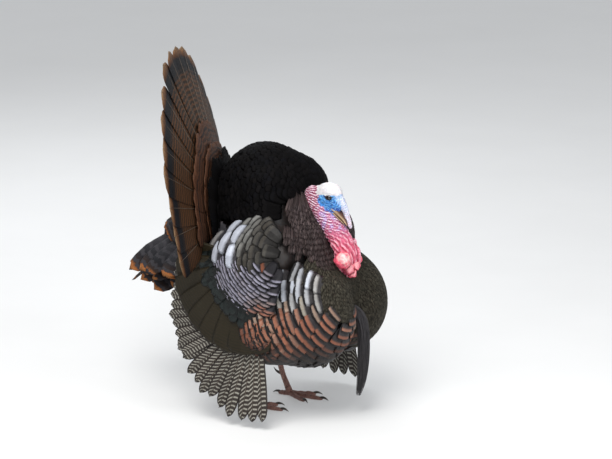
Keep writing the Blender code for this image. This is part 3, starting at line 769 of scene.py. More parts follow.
flesh_colours = layered(
    (0.45, 0.135, 0.255),
    (down, (0.66, 0.115, 0.195)),
    (nape_share * smooth_step(0.082 - x, 0.0, 0.03), (0.34, 0.085, 0.140)),
    # wrinkle crests: own pale tint and painted highlight; grooves: painted shade
    (ridge_pale_and_highlight * (1 - 0.5 * down) * 0.90, (0.86, 0.68, 0.78)),
    (ridge_pale_and_highlight * down * 0.50, (0.94, 0.38, 0.46)),
    (groove_shade * (1 - down) * 0.85, (0.13, 0.012, 0.060)),
    (groove_shade * down * 0.70, (0.36, 0.015, 0.050)),
    (lilac * 0.60, (0.42, 0.30, 0.62)),
    (lilac * ridge_pale_and_highlight * 0.80, (0.70, 0.70, 0.90)),
    (lilac * groove_shade * 0.80, (0.13, 0.02, 0.12)),
    (face_share, (0.040, 0.25, 0.68)),
    (face_share * smooth_step(z, 0.505, 0.522), (0.09, 0.38, 0.80)),
    (face_share * smooth_step(0.500 - z + edge, 0.0, 0.012), (0.02, 0.11, 0.56)),
    # round the eye the wrinkle crests get a painted highlight and the folds between them painted shade
    (face_share * smooth_step(ring, 0.2, 1.3) * 0.65, (0.30, 0.62, 0.90)),
    (face_share * smooth_step(-ring, 0.1, 1.1) * 0.75, (0.008, 0.040, 0.24)),
    (face_share * pale_face, (0.40, 0.56, 0.80)),
    (crown_share, (0.70, 0.69, 0.70)),
    (crown_share * dots * 0.2, (0.62, 0.60, 0.66)),
    (lobe_share, (0.78, 0.085, 0.150)),
    (lobe_share * dots * 0.35, (0.90, 0.34, 0.40)),
    # painted highlight on the big ball
    (lobe_share * ball_highlight, (0.90, 0.60, 0.57)),
    # painted highlight on the smaller lobes
    (lobe_share * lobe_highlight * 0.75, (0.94, 0.48, 0.50)),
    # painted shade in the creases between lobes
    (crease_shade, (0.22, 0.006, 0.020)),
    (snood_share, (0.60, 0.66, 0.82)),
    (snood_share * smooth_step(0.500 - z, 0.0, 0.03), (0.72, 0.62, 0.72)),
    (np.maximum(snood_share, face_share * pale_face) * dots * 0.6, (0.88, 0.88, 0.92)),
    (np.maximum(snood_share, face_share * pale_face) * smooth_step(-pimples, 0.4, 1.4) * 0.5,
     (0.16, 0.28, 0.60)),
    # painted shade in the dent of the ear opening
    (1 - smooth_step(ear_gap, 0.0012, 0.0030), (0.08, 0.03, 0.07)),
)
socket = np.sqrt(((x - EYE_PLACE[0]) * LID_LONG) ** 2 + ((z - EYE_PLACE[2]) * LID_HIGH) ** 2)
corner = np.sqrt(((x - EYE_PLACE[0]) / 0.0135) ** 2 + ((z - EYE_PLACE[2] - 0.0024) / 0.0020) ** 2)
lid_share = np.maximum(1 - smooth_step(socket, 0.0066, 0.0084), 1 - smooth_step(corner, 0.7, 1.1))
lid_share *= bare * smooth_step(z, 0.505, 0.510)
flesh_colours += (np.array((0.012, 0.012, 0.022)) - flesh_colours) * lid_share[:, None]
under = np.broadcast_to(np.array((0.030, 0.024, 0.022)), flesh_colours.shape)
flesh_colours = np.where(bare[:, None], flesh_colours, under)
flesh_colours = np.hstack([flesh_colours, np.ones((len(flesh_colours), 1))])

flesh_finish = Finish("bare_skin", 0.38, 0.0, 0.5)
flesh_colour = flesh_finish.attribute("Flesh")[0]
flesh_where = flesh_finish.place()
flesh_pores = flesh_finish.cells(flesh_where, 900.0)
flesh_cloud = flesh_finish.noise(flesh_where, 160.0, 4.0)
flesh_tint = flesh_finish.ramp(flesh_cloud, [(0.3, (0.80, 0.78, 0.80)), (0.7, (1.12, 1.1, 1.1))])
flesh_finish.colour(flesh_finish.mix(1.0, flesh_colour, flesh_tint, "MULTIPLY"))
flesh_finish.shader.inputs["Subsurface Weight"].default_value = 0.12
flesh_finish.shader.inputs["Subsurface Radius"].default_value = (0.004, 0.0015, 0.001)
flesh_finish.shader.inputs["Subsurface Scale"].default_value = 0.6
flesh_finish.bump(flesh_finish.plus(flesh_pores, flesh_finish.times(flesh_cloud, 0.8)), 0.5, 0.0006)

skin = put_mesh("skin", skin_points + HOME, skin_quads, flesh_finish.material)
add_colour(skin, "Flesh", flesh_colours)
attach(skin, "root")
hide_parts("trunk", "head", "neck", "caruncles", "snood", "wing_left", "wing_right",
            "thigh_left", "thigh_right")

# ---------------------------------------------------------------- eyes
# Dark brown eyes with a black pupil and a wet, glossy front, sunk between the lids.
EYE_RADIUS = 0.0074
eye_finish = Finish("eye_dark", 0.06, 0.0, 0.6)
eye_round = eye_finish.uv("Iris")
eye_finish.colour(eye_finish.ramp(
    eye_round[2],
    [(0.0, (0.003, 0.003, 0.004)), (0.17, (0.004, 0.003, 0.004)), (0.19, (0.024, 0.011, 0.007)),
     (0.27, (0.014, 0.007, 0.005)), (0.30, (0.006, 0.004, 0.005))]))
eye_finish.shader.inputs["Coat Weight"].default_value = 1.0
eye_finish.shader.inputs["Coat Roughness"].default_value = 0.03


def tube_quads(rings, sides):
    """Faces between neighbouring rings of points, all the way round."""
    index = np.arange(rings * sides).reshape(rings, sides)
    after = np.roll(index, -1, axis=1)
    return np.stack([index[:-1], after[:-1], after[1:], index[1:]], -1).reshape(-1, 4)


def ball(name, centre, radius, axis, finish):
    """Ball whose poles lie on an axis: ring radius r sin(t), height r cos(t), and UV v = t / pi."""
    rings, sides = 40, 40
    tilt = np.linspace(0.002, math.pi - 0.002, rings)
    turn = np.linspace(0, 2 * math.pi, sides, endpoint=False)
    front = unit(np.array(axis, float))
    side = unit(np.cross(front, (0.3, 0.1, 1.0)))
    over = np.cross(front, side)
    spin = np.cos(turn)[:, None] * side + np.sin(turn)[:, None] * over
    points = centre + radius * (np.cos(tilt)[:, None, None] * front + np.sin(tilt)[:, None, None] * spin)
    made = put_mesh(name, points.reshape(-1, 3), tube_quads(rings, sides)[:, ::-1], finish)
    places = np.stack(np.broadcast_arrays(turn[None] / (2 * math.pi), tilt[:, None] / math.pi), -1)
    add_map(made, "Iris", places.reshape(-1, 2))
    return made


for side, sign in (("left", 1), ("right", -1)):
    eye_at = HOME + (EYE_PLACE[0], HEAD_Y + EYE_PLACE[1] * sign, EYE_PLACE[2])
    eyeball = ball(f"eyeball_{side}", eye_at, EYE_RADIUS, (0.25, sign, 0.0), eye_finish.material)
    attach(eyeball, "root")
    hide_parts(f"eye_{side}")


# ---------------------------------------------------------------- feather finishes
# Body feathers are flat vanes of fine barbs, dark at the root and black at the very tip; the dark root is
# partly their own dusky base and partly painted shade from the feathers that lie over it.
# Just short of the tip is a band that shines silver, copper or bronze, by its place on the bird.
# Tone is set for each feather: red = warmth of the band, green = its strength, blue = lightness.


def body_finish(name, web, deep, tip, bands, band_from=0.70, band_to=0.93, roughness=0.42, metallic=0.25,
                specular=0.35, streaks=0.0):
    """Finish of a body feather on the UV map Vane, u across it and v from root to tip."""
    finish = Finish(name, roughness, metallic, specular)
    _, u, v = finish.uv("Vane")
    _, warmth, strength, light = finish.attribute("Tone")
    where = finish.place()
    patchy = finish.noise(where, 300.0, 3.0)
    aside = finish.math("ABSOLUTE", finish.minus(u, 0.5))
    slant = finish.minus(v, finish.times(aside, 0.55))
    waver = finish.noise(finish.vector(finish.times(slant, 38.0),
                                       finish.times(u, 2.0), light), 1.0, 2.0)
    bent = finish.plus(v, finish.times(finish.times(aside, aside), 0.16))
    bent = finish.plus(bent, finish.centred(waver, 0.07))
    inside_band = finish.ramp(bent, [(band_from - 0.05, 0.0), (band_from + 0.05, 1.0),
                                     (band_to - 0.012, 1.0), (band_to + 0.012, 0.0)])
    beyond = finish.ramp(bent, [(band_to - 0.012, 0.0), (band_to + 0.012, 1.0)])
    # root part: the vane's own dusky colour, also painted shade from the overlapping feathers
    base = finish.mix(waver, deep, web)
    band = finish.ramp(finish.plus(warmth, finish.centred(patchy, 0.22)),
                       bands)
    band = finish.mix(finish.times(waver, 0.45), band, base)
    colour = finish.mix(finish.times(inside_band, strength), base, band)
    colour = finish.mix(finish.times(beyond, finish.times(strength, 0.94)), colour, tip)
    shade = finish.plus(0.62, finish.times(light, 0.76))
    if streaks:
        strand = finish.noise(finish.vector(finish.times(u, 6.0), finish.times(v, 2.0),
                                            finish.times(light, 90.0)), 1.0, 2.0)
        strand = finish.ramp(strand, [(0.35, 1 - streaks), (0.65, 1 + streaks)])
        shade = finish.times(shade, strand)
    finish.shaded(colour, shade)
    barb = finish.math("SINE", finish.times(slant, 260.0))
    finish.bump(finish.plus(barb, finish.times(waver, 2.5)), 0.35, 0.0006)
    return finish.material


def vane_template(stations, columns):
    """Faces of a closed vane: an upper and a lower grid that share their outline."""
    upper = np.arange(stations * columns).reshape(stations, columns)
    lower = upper.copy()
    inner = (stations - 2) * (columns - 2)
    lower[1:-1, 1:-1] = stations * columns + np.arange(inner).reshape(stations - 2, columns - 2)

    def faces(grid):
        """One face between each point, the next along, the one aslant and the next across."""
        return np.stack([grid[:-1, :-1], grid[1:, :-1], grid[1:, 1:], grid[:-1, 1:]], -1).reshape(-1, 4)

    return np.vstack([faces(upper), faces(lower)[:, ::-1]])


def outline(share, root=0.45, blunt=3.0, fall=0.62):
    """Half-width along a feather: grows from the root, then a superellipse closes the tip."""
    grow = root + (1 - root) * np.sin(np.clip(share / fall, 0, 1) * math.pi / 2)
    close = np.clip((share - fall) / (1 - fall), 0, 1)
    return grow * np.clip(1 - close**blunt, 0.004, 1) ** (1 / 1.9)


def feathers(name, spine, side, up, half, share, finish, cells, tone=None,
             columns=5, camber=0.16, thick=0.0004, fray=0.0, seed=1, uneven=0.0):
    """One mesh of many feathers.

    Each is a grid: station k along the spine by column x from -1 to 1 across it, at
    spine + side * x * half-width - up * camber * x^2 * half-width. The upper and lower faces
    lie a hair apart and share their outline. half is the half-width at each station.
    cells gives each feather its own patch of the map OFBake: middle u, v and the patch's size.
    """
    picker = np.random.default_rng(seed)
    count, stations = spine.shape[:2]
    x = np.linspace(-1, 1, columns)
    x = np.sign(x) * np.abs(x) ** 0.85
    ragged = 1 + uneven * picker.normal(0, 1, (count, stations, 2))
    both = half[..., None] * ragged
    reach = np.where(x < 0, both[:, :, :1], both[:, :, 1:]) * x
    drop = camber * x**2 * np.abs(reach).max(2, keepdims=True)
    upper = spine[:, :, None] + side[:, :, None] * reach[..., None] - up[:, :, None] * drop[..., None]
    if fray:
        along = unit(spine[:, -1] - spine[:, -2])
        ends = np.linspace(0, 1, stations) ** 8
        pull = fray * picker.uniform(-1, 0.25, (count, 1, columns)) * ends[None, :, None]
        upper = upper + along[:, None, None] * pull[..., None]
    deep = thick * np.sqrt(np.clip(1 - x**2, 0, 1))[None, None, :] * np.ones((count, stations, 1))
    deep[:, (0, -1)] = 0
    lower = upper - up[:, :, None] * deep[..., None]
    upper = upper + up[:, :, None] * deep[..., None]
    points = np.concatenate([upper.reshape(count, -1, 3), lower[:, 1:-1, 1:-1].reshape(count, -1, 3)], 1)
    template = vane_template(stations, columns)
    quads = (np.arange(count)[:, None, None] * points.shape[1] + template).reshape(-1, 4)
    piece = put_mesh(name, points.reshape(-1, 3) + HOME, quads, finish)
    across, ahead = np.meshgrid(x * 0.5 + 0.5, share)
    flat = np.stack([across, ahead], -1)
    flat = np.concatenate([flat.reshape(-1, 2), flat[1:-1, 1:-1].reshape(-1, 2)])
    add_map(piece, "Vane", np.tile(flat, (count, 1)))
    patches = cells[:, None, :2] + (flat[None] - 0.5) * cells[:, None, 2:]
    add_map(piece, "OFBake", patches.reshape(-1, 2))
    if tone is not None:
        tone = np.hstack([tone, np.ones((count, 1))])
        add_colour(piece, "Tone", np.repeat(tone, points.shape[1], 0))
    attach(piece, "root")
    return piece


def laid(field, roots, ways, lengths, share, rise_root, rise_tip, curl=0.0):
    """Spines that start at the roots and follow the field's zero surface.

    At each station the spine steps along its way, settles on the surface, and turns its way
    into the surface there. It then stands off the surface by a rise that grows to the tip.
    """
    spine, side, up = [], [], []
    here, way, before = settled(field, roots, 0.0, 3), ways, 0.0
    for station in share:
        here = settled(field, here + way * ((station - before) * lengths)[:, None], 0.0, 1)
        before = station
        normal = unit(slope(field, here))
        way = unit(way - (way * normal).sum(-1, keepdims=True) * normal)
        rise = rise_root + (rise_tip - rise_root) * station - curl * max(station - 0.75, 0) ** 2 * 16
        spine.append(here + normal * np.broadcast_to(rise, len(here))[:, None])
        side.append(np.cross(normal, way))
        up.append(normal)
    return np.stack(spine, 1), np.stack(side, 1), np.stack(up, 1)


RAYS = 72                       # directions in which a ring's reach is measured
FARTHEST = 0.40                 # no surface is further out than this
PROBES = 60
HALVINGS = 12


def rows_round(field, middle, pole, first, last, spacing, width, seed):
    """Feather roots in rings round a pole, and the way from the pole there.

    A ring is every direction at one angle from the pole, seen from the middle; rings are spacing
    apart and split into feathers width apart, every other ring shifted by half a feather.
    """
    picker = np.random.default_rng(seed)
    pole = unit(np.array(pole, float))
    side = unit(np.cross((0.0, 0.0, 1.0), pole))
    over = np.cross(pole, side)
    turn = np.linspace(0, 2 * math.pi, RAYS, endpoint=False)
    rows = []
    angle = first
    number = 0

    def rays(angle, turn):
        """Directions cos(angle) pole + sin(angle) (cos(turn) side + sin(turn) over)."""
        spin = np.cos(turn)[:, None] * side + np.sin(turn)[:, None] * over
        return np.cos(angle)[:, None] * pole + np.sin(angle)[:, None] * spin

    while angle < last:
        reach = outermost(field, middle, rays(np.full(RAYS, angle), turn))
        mean = reach.mean()
        count = max(int(2 * math.pi * mean * math.sin(angle) / width), 3)
        spin = (np.arange(count) + 0.5 * (number % 2)
                + picker.uniform(-0.12, 0.12, count)) / count * 2 * math.pi
        lean = angle + picker.uniform(-0.05, 0.05, count) * spacing / mean
        rows.append(np.stack([lean, spin, np.full(count, number), np.full(count, count)], 1))
        angle += spacing / mean
        number += 1
    rows = np.vstack(rows)
    directions = rays(rows[:, 0], rows[:, 1])
    onward = rays(rows[:, 0] + 0.02, rows[:, 1])
    roots = middle + directions * outermost(field, middle, directions)[:, None]
    ahead = middle + onward * outermost(field, middle, onward)[:, None]
    most = rows[:, 3].max()
    cells = np.stack([(rows[:, 1] / (2 * math.pi)) % 1 * 0.96 + 0.02, (rows[:, 2] + 0.5) / number,
                      np.full(len(rows), 0.88 / most), np.full(len(rows), 0.9 / number)], 1)
    return roots, unit(ahead - roots), cells


def outermost(field, middle, rays):
    """How far along each ray from the middle the field is last crossed."""
    steps = np.linspace(0.0, FARTHEST, PROBES)
    inner = np.zeros(len(rays))
    for step in steps:
        inner = np.where(field(middle + rays * step) < 0, step, inner)
    outer = inner + steps[1]
    for _ in range(HALVINGS):
        half = (inner + outer) / 2
        inside = field(middle + rays * half[:, None]) < 0
        inner, outer = np.where(inside, half, inner), np.where(inside, outer, half)
    return inner


STATIONS = np.array((0.0, 0.16, 0.34, 0.52, 0.68, 0.80, 0.89, 0.955, 1.0))
SHORT = np.array((0.0, 0.30, 0.58, 0.82, 1.0))


def tract(name, field, rooted, keep, size, finish, tone_of, seed, columns=5,
          rise=(-0.008, 0.003), curl=0.0, uneven=0.015, camber=0.16, jitter=0.06, share=STATIONS, blunt=3.0,
          loose=0.0004):
    """A tract of body feathers: roots kept by a test, laid along their ways, sized and toned.

    size(points) gives length and half-width, and tone_of(points, picker) the three tones.
    """
    picker = np.random.default_rng(seed)
    roots, ways, cells = rooted
    kept = keep(roots)
    roots, ways, cells = roots[kept], ways[kept], cells[kept]
    length, half = size(roots)
    length = length * picker.uniform(0.93, 1.07, len(roots))
    sway = picker.normal(0, jitter, (len(roots), 1))
    normal = unit(slope(field, roots))
    ways = unit(ways + sway * np.cross(normal, ways))
    lift = picker.normal(0, loose, len(roots))
    spine, side, up = laid(field, roots, ways, length, share, rise[0] + lift, rise[1] + lift, curl)
    width = half[:, None] * picker.uniform(0.94, 1.06, (len(roots), 1)) * outline(share, blunt=blunt)
    tone = tone_of(roots + ways * length[:, None] * 0.8, picker)
    return feathers(name, spine, side, up, width, share, finish, cells, tone,
                    columns=columns, camber=camber, uneven=uneven, seed=seed)


# ---------------------------------------------------------------- breast and belly
# Broad blunt feathers in rings round the front of each breast lobe, tips to the rear.
# High on the side their bands shine silver, lower down copper and then bronze, and at the bottom they fade
# and darken, which is painted shade.
# Close to the beard they are smooth, plush and grey-brown; on the left lobe this plain patch is larger, a
# painted lack of the bands' sheen, which is turned away from this side.
# The last, near-black stop is reached only low on the breast, as painted shade.
SILVER_TO_BRONZE_AND_SHADE = [(0.0, (0.52, 0.55, 0.62)), (0.25, (0.39, 0.35, 0.28)), (0.50, (0.34, 0.118, 0.062)),
                    (0.72, (0.15, 0.058, 0.036)), (1.0, (0.036, 0.026, 0.018))]
breast_finish = body_finish("breast_feathers", (0.045, 0.040, 0.042), (0.008, 0.007, 0.008),
                            (0.004, 0.0035, 0.004),
                            SILVER_TO_BRONZE_AND_SHADE, 0.76, 0.905)
plush_finish = body_finish("plush_feathers", (0.050, 0.045, 0.033), (0.028, 0.025, 0.019),
                           (0.045, 0.040, 0.030),
                           [(0.0, (0.060, 0.056, 0.042)), (1.0, (0.052, 0.042, 0.030))], 0.70, 1.10, 0.65,
                           0.0, 0.12,
                           0.45)
BREAST_MIDDLE = np.array((0.010, 0.050, 0.262))
BREAST_POLE = (0.168, 0.025, 0.046)
PLUSH_POLE = (0.060, -0.020, 0.140)


def even_size(length, half):
    """The same length and half-width for every feather of a tract."""
    return lambda points: (np.full(len(points), length), np.full(len(points), half))


def mirrored(rooted):
    """The same rows for the other side."""
    roots, ways, cells = rooted
    flip = np.array((1.0, -1.0, 1.0))
    return roots * flip, ways * flip, cells


def breast_keep(roots, tips):
    """Left side from the middle plane out; tips stop at the mantle above and the wing behind."""
    x, _, z = split(tips)
    roof = np.interp(x, (0.0, 0.036, 0.068, 0.090, 0.110, 0.150), (0.335, 0.354, 0.376, 0.384, 0.380, 0.372))
    behind = np.interp(z, (0.15, 0.185, 0.21, 0.27, 0.34), (-0.036, -0.042, -0.026, 0.006, 0.033))
    return (z < roof) & (roots[:, 1] > -0.012) & ((x > behind) | (roots[:, 2] < 0.15))


def picked(rooted, chosen):
    """Only the chosen rows of roots, ways and cells."""
    return tuple(part[chosen] for part in rooted)


def plush_share(points, sign):
    """Smooth grey front of each lobe, beside the beard; it reaches lower down on the left, where the dull
    look of bands whose sheen is turned away is painted in.
    """
    x, y, z = split(points)
    # On the left the wider plain patch is a painted lack of the bands' sheen.
    if sign > 0:
        return smooth_step(x + 0.2 * (z - 0.27), 0.070, 0.090) * smooth_step(z, 0.125, 0.150)
    cleft = smooth_step(0.040 + y, 0.0, 0.012) * smooth_step(z, 0.200, 0.215)
    cleft = np.maximum(cleft, smooth_step(z, 0.358, 0.366) * smooth_step(x, 0.074, 0.086))
    return np.maximum(smooth_step(x + 0.55 * (z - 0.27), 0.158, 0.170) * smooth_step(z, 0.272, 0.292), cleft)


def breast_size(points):
    """Longer and wider towards the side, small near the beard."""
    far = smooth_step(np.linalg.norm(points - np.array((0.175, 0.07, 0.25)), axis=1), 0.02, 0.14)
    return 0.046 + 0.018 * far, 0.0185 + 0.0105 * far


def breast_tone(points, picker):
    """Warmth by height, no band on the smooth grey patch near the beard; bronze low down, and lower still
    weaker bands and darker feathers, which is painted shade.
    """
    x, _, z = split(points)
    # The second step runs the bands from copper through bronze to near black at the bottom: real bronze, then
    # painted shade.
    warm = 0.50 * smooth_step(0.315 - z, 0.0, 0.055) + 0.5 * smooth_step(0.212 - z, 0.0, 0.070)
    warm = warm + 0.22 * smooth_step(x, 0.085, 0.13) * smooth_step(z, 0.27, 0.33)
    # Low down the bands fade and the lightness drops: painted shade.
    strength = 1 - 0.75 * smooth_step(0.175 - z, 0.0, 0.05)
    light = 0.5 + picker.normal(0, 0.12, len(x)) - 0.55 * smooth_step(0.210 - z, 0.0, 0.05)
    return np.stack([np.clip(warm + picker.normal(0, 0.05, len(x)), 0, 1), strength, np.clip(light, 0, 1)], 1)


def plain_tone(points, picker):
    """Slight variation only."""
    light = np.clip(0.5 + picker.normal(0, 0.26, len(points)), 0, 1)
    warm = np.clip(0.5 + picker.normal(0, 0.25, len(points)), 0, 1)
    return np.stack([warm, np.full(len(points), 0.6), light], 1)


breast_rows = rows_round(breast_field, BREAST_MIDDLE, BREAST_POLE, 0.06, 3.0, 0.0160, 0.0250, 11)
breast_rows = picked(breast_rows, breast_keep(breast_rows[0], breast_rows[0] + 0.048 * breast_rows[1]))
plush_rows = rows_round(breast_field, BREAST_MIDDLE, PLUSH_POLE, 0.03, 2.4, 0.0125, 0.0040, 10)
plush_rows = picked(plush_rows, breast_keep(plush_rows[0], plush_rows[0] + 0.026 * plush_rows[1]))
for side, sign in (("left", 1), ("right", -1)):
    rooted = breast_rows if sign > 0 else mirrored(breast_rows)
    rooted = picked(rooted, plush_share(rooted[0] + 0.036 * rooted[1], sign) < 0.5)
    tract(f"feathers_breast_{side}", breast_field, rooted, lambda p: p[:, 2] > 0,
          lambda p, s=sign: breast_size(p * (1, s, 1)), breast_finish,
          breast_tone, 21 + sign, columns=7, rise=(-0.007, 0.0040), curl=0.0010, jitter=0.015,
          camber=0.09, blunt=7.0)
    rooted = plush_rows if sign > 0 else mirrored(plush_rows)
    tract(f"feathers_plush_{side}", breast_field, rooted,
          lambda p, s=sign: plush_share(p, s) >= 0.5,
          even_size(0.040, 0.0036), plush_finish,
          plain_tone, 24 + sign, columns=3, rise=(-0.0025, 0.0005), uneven=0.01, jitter=0.04, camber=0.06,
          share=SHORT, loose=0.0001)

# ---------------------------------------------------------------- back and mantle
# The raised back is velvet black with a faint blue bloom; the mantle beside the neck is plush
# grey-brown, of narrow soft feathers; the shoulder feathers are broad, olive grey and silver.
BACK_MIDDLE = np.array((-0.050, 0.0, 0.425))
BACK_POLE = (0.135, 0.0, 0.030)
MANTLE_POLE = (0.030, 0.0, 0.125)
BLOOM = [(0.0, (0.0045, 0.0048, 0.0070)), (0.5, (0.005, 0.0045, 0.005)), (1.0, (0.007, 0.006, 0.006))]
back_finish = body_finish("back_feathers", (0.0036, 0.0032, 0.0034), (0.0012, 0.0010, 0.0011),
                          (0.0008, 0.0008, 0.0008), BLOOM, 0.78, 0.96, 0.7, 0.0, 0.04)
mantle_finish = body_finish("mantle_feathers", (0.055, 0.040, 0.039), (0.028, 0.020, 0.019),
                            (0.050, 0.036, 0.035),
                            [(0.0, (0.080, 0.064, 0.066)), (1.0, (0.052, 0.037, 0.034))], 0.70, 1.10, 0.65,
                            0.0, 0.10,
                            0.5)
shoulder_finish = body_finish("shoulder_feathers", (0.015, 0.013, 0.011), (0.006, 0.005, 0.005),
                              (0.003, 0.003, 0.003),
                              [(0.0, (0.20, 0.20, 0.19)), (0.5, (0.042, 0.036, 0.028)),
                               (0.8, (0.035, 0.028, 0.021)),
                               (1.0, (0.34, 0.085, 0.030))], 0.76, 0.93)
plume_finish = body_finish("plume_feathers", (0.060, 0.058, 0.066), (0.014, 0.013, 0.016),
                           (0.006, 0.006, 0.007),
                           [(0.0, (0.62, 0.66, 0.76)), (0.5, (0.46, 0.45, 0.44)),
                            (1.0, (0.10, 0.085, 0.090))],
                           0.72, 0.93)


def mantle_area(points):
    """Share of the plush mantle: ahead of a line that runs forward as it comes down."""
    x, y, z = split(points)
    edge = np.where(z > 0.46, 0.011 + 0.29 * (0.542 - z), 0.035 + 0.63 * (0.46 - z))
    edge = np.where(y > 0, np.minimum(edge, 0.015), edge)
    return smooth_step(x - edge, -0.006, 0.006)


def upper_keep(points):
    """Everything above the breast and the wing coverts."""
    x, _, z = split(points)
    floor = np.interp(x, (-0.02, 0.01, 0.035, 0.075), (0.398, 0.385, 0.366, 0.384))
    return (z > floor) & (x > -0.22)


def is_shoulder(points):
    """Side of the back below its crest and behind the mantle."""
    _, y, z = split(points)
    return (np.abs(y) > 0.10) & (z < 0.482) & (mantle_area(points) < 0.5)


fine_rows = rows_round(coat_field, BACK_MIDDLE, MANTLE_POLE, 0.05, 2.2, 0.0130, 0.0040, 12)
fine_tips = fine_rows[0] + 0.034 * fine_rows[1]
fine_rows = picked(fine_rows, upper_keep(fine_rows[0]) & (mantle_area(fine_tips) >= 0.5)
                   & (fine_rows[0][:, 2] < 0.532)
                   & (balls_depth(split(fine_tips), NECK_LINE) > 0.002))
tract("feathers_mantle", coat_field, fine_rows, lambda p: p[:, 2] > 0,
      even_size(0.044, 0.0042), mantle_finish,
      plain_tone, 31, columns=3, rise=(-0.0015, 0.0004), uneven=0.01, jitter=0.03, camber=0.02, share=SHORT,
      loose=0.0001)
back_rows = rows_round(coat_field, BACK_MIDDLE, BACK_POLE, 0.50, 2.75, 0.0135, 0.0150, 13)
tract("feathers_back", coat_field, back_rows,
      lambda p: upper_keep(p) & ((mantle_area(p) < 0.5) | (p[:, 2] > 0.510)) & ~is_shoulder(p),
      even_size(0.050, 0.0135), back_finish,
      plain_tone, 32, columns=5, rise=(-0.005, 0.0020), uneven=0.02, camber=0.08)


def shoulder_tone(points, picker):
    """Olive grey near the mantle, silver further back, rusty at the low front corner."""
    x, _, z = split(points)
    rust = smooth_step(x, 0.000, 0.010) * smooth_step(0.062 - x, 0.0, 0.012) * smooth_step(0.394 - z, 0.0,
                                                                                           0.010)
    pale = smooth_step(-x, 0.002, 0.040) * smooth_step(z, 0.385, 0.44)
    warm = np.where(rust > 0.5, 1.0, 0.5 - 0.5 * pale) + picker.normal(0, 0.05, len(x))
    light = np.clip(0.50 + picker.normal(0, 0.12, len(x)), 0, 1)
    return np.stack([np.clip(warm, 0, 1), np.full(len(x), 0.95), light], 1)


def plume_tone(points, picker):
    """Silver, but dusky mauve at the rear."""
    x = points[:, 0]
    warm = smooth_step(-0.118 - x, 0.0, 0.02)
    light = np.clip(0.55 + picker.normal(0, 0.08, len(x)), 0, 1)
    return np.stack([warm, np.full(len(x), 0.95), light], 1)


SHOULDER_POLE = (0.110, 0.115, -0.025)


def shoulder_size(points):
    """Wide bands at the rear, narrower towards the pole."""
    near = smooth_step(points[:, 0], -0.06, 0.04)
    return 0.060 - 0.012 * near, 0.0290 - 0.012 * near


shoulder_rows = rows_round(coat_field, BACK_MIDDLE, SHOULDER_POLE, 0.06, 2.0, 0.0120, 0.0230, 14)
shoulder_tips = shoulder_rows[0] + 0.042 * shoulder_rows[1]
low_tips = shoulder_tips + np.array((0.0, 0.0, 0.018))
shoulder_rows = picked(shoulder_rows, upper_keep(low_tips) & is_shoulder(shoulder_tips)
                       & (shoulder_tips[:, 0] > -0.052) & (shoulder_rows[0][:, 1] > 0.03))
plume_rows = rows_round(coat_field, BACK_MIDDLE, SHOULDER_POLE, 0.30, 2.4, 0.0230, 0.0330, 17)
plume_tips = plume_rows[0] + 0.060 * plume_rows[1]
plume_rows = picked(plume_rows, upper_keep(plume_tips) & is_shoulder(plume_tips)
                    & (plume_tips[:, 2] < np.where(plume_tips[:, 0] < -0.09, 0.452, 0.482))
                    & (plume_tips[:, 0] < -0.040) & (plume_rows[0][:, 1] > 0.03))
for side, sign in (("left", 1), ("right", -1)):
    tract(f"feathers_shoulder_{side}", coat_field, shoulder_rows if sign > 0 else mirrored(shoulder_rows),
          lambda p: p[:, 2] > 0, shoulder_size, shoulder_finish, shoulder_tone, 33 + sign,
          columns=9, rise=(-0.006, 0.0042), curl=0.0015, camber=0.05, jitter=0.015, blunt=5.0)
    tract(f"feathers_plume_{side}", coat_field, plume_rows if sign > 0 else mirrored(plume_rows),
          lambda p: p[:, 2] > 0, even_size(0.080, 0.0290), plume_finish,
          plume_tone, 36 + sign, columns=9, rise=(-0.006, 0.0080), curl=0.0020, camber=0.10,
          jitter=0.03, blunt=3.4)

# ---------------------------------------------------------------- wing coverts
# Close rows of small feathers over the folded wing, silver and lilac with black between them.
# The last, long row is glossy greenish black and edges the smooth panel of the wing.
covert_finish = body_finish("covert_feathers", (0.020, 0.018, 0.023), (0.006, 0.006, 0.008),
                            (0.003, 0.003, 0.004),
                            [(0.0, (0.31, 0.30, 0.38)), (0.5, (0.27, 0.20, 0.19)), (1.0, (0.34, 0.13, 0.08))],
                            0.80, 0.925)
edge_finish = body_finish("edge_feathers", (0.006, 0.008, 0.008), (0.003, 0.004, 0.004),
                          (0.002, 0.002, 0.002),
                          [(0.0, (0.011, 0.017, 0.016)), (1.0, (0.010, 0.013, 0.011))], 0.70, 0.93, 0.32, 0.3)
COVERT_POLE_PLACE = np.array((0.010, 0.190, 0.402))
COVERT_FRONT = np.array((0.060, 0.180, 0.435))
COVERT_MIDDLE = np.array((-0.035, 0.075, 0.365))


def covert_keep(roots, tips, low, high):
    """Left wing, by the tips' distance from the middle of the wing's shoulder, behind the breast."""
    x, y, z = split(roots)
    far = np.linalg.norm(tips - COVERT_POLE_PLACE, axis=1)
    return (far > low) & (far < high) & (y > 0.06) & (x < 0.050) & (z < 0.400)


def covert_tone(points, picker):
    """Lilac silver, warmer at the lower front end of each row."""
    x, _, z = split(points)
    warm = smooth_step(x, -0.045, 0.01) * smooth_step(0.33 - z, 0.0, 0.05)
    light = np.clip(0.5 + picker.normal(0, 0.16, len(x)), 0, 1)
    return np.stack([np.clip(warm + picker.normal(0, 0.07, len(x)), 0, 1), np.full(len(x), 0.95), light], 1)


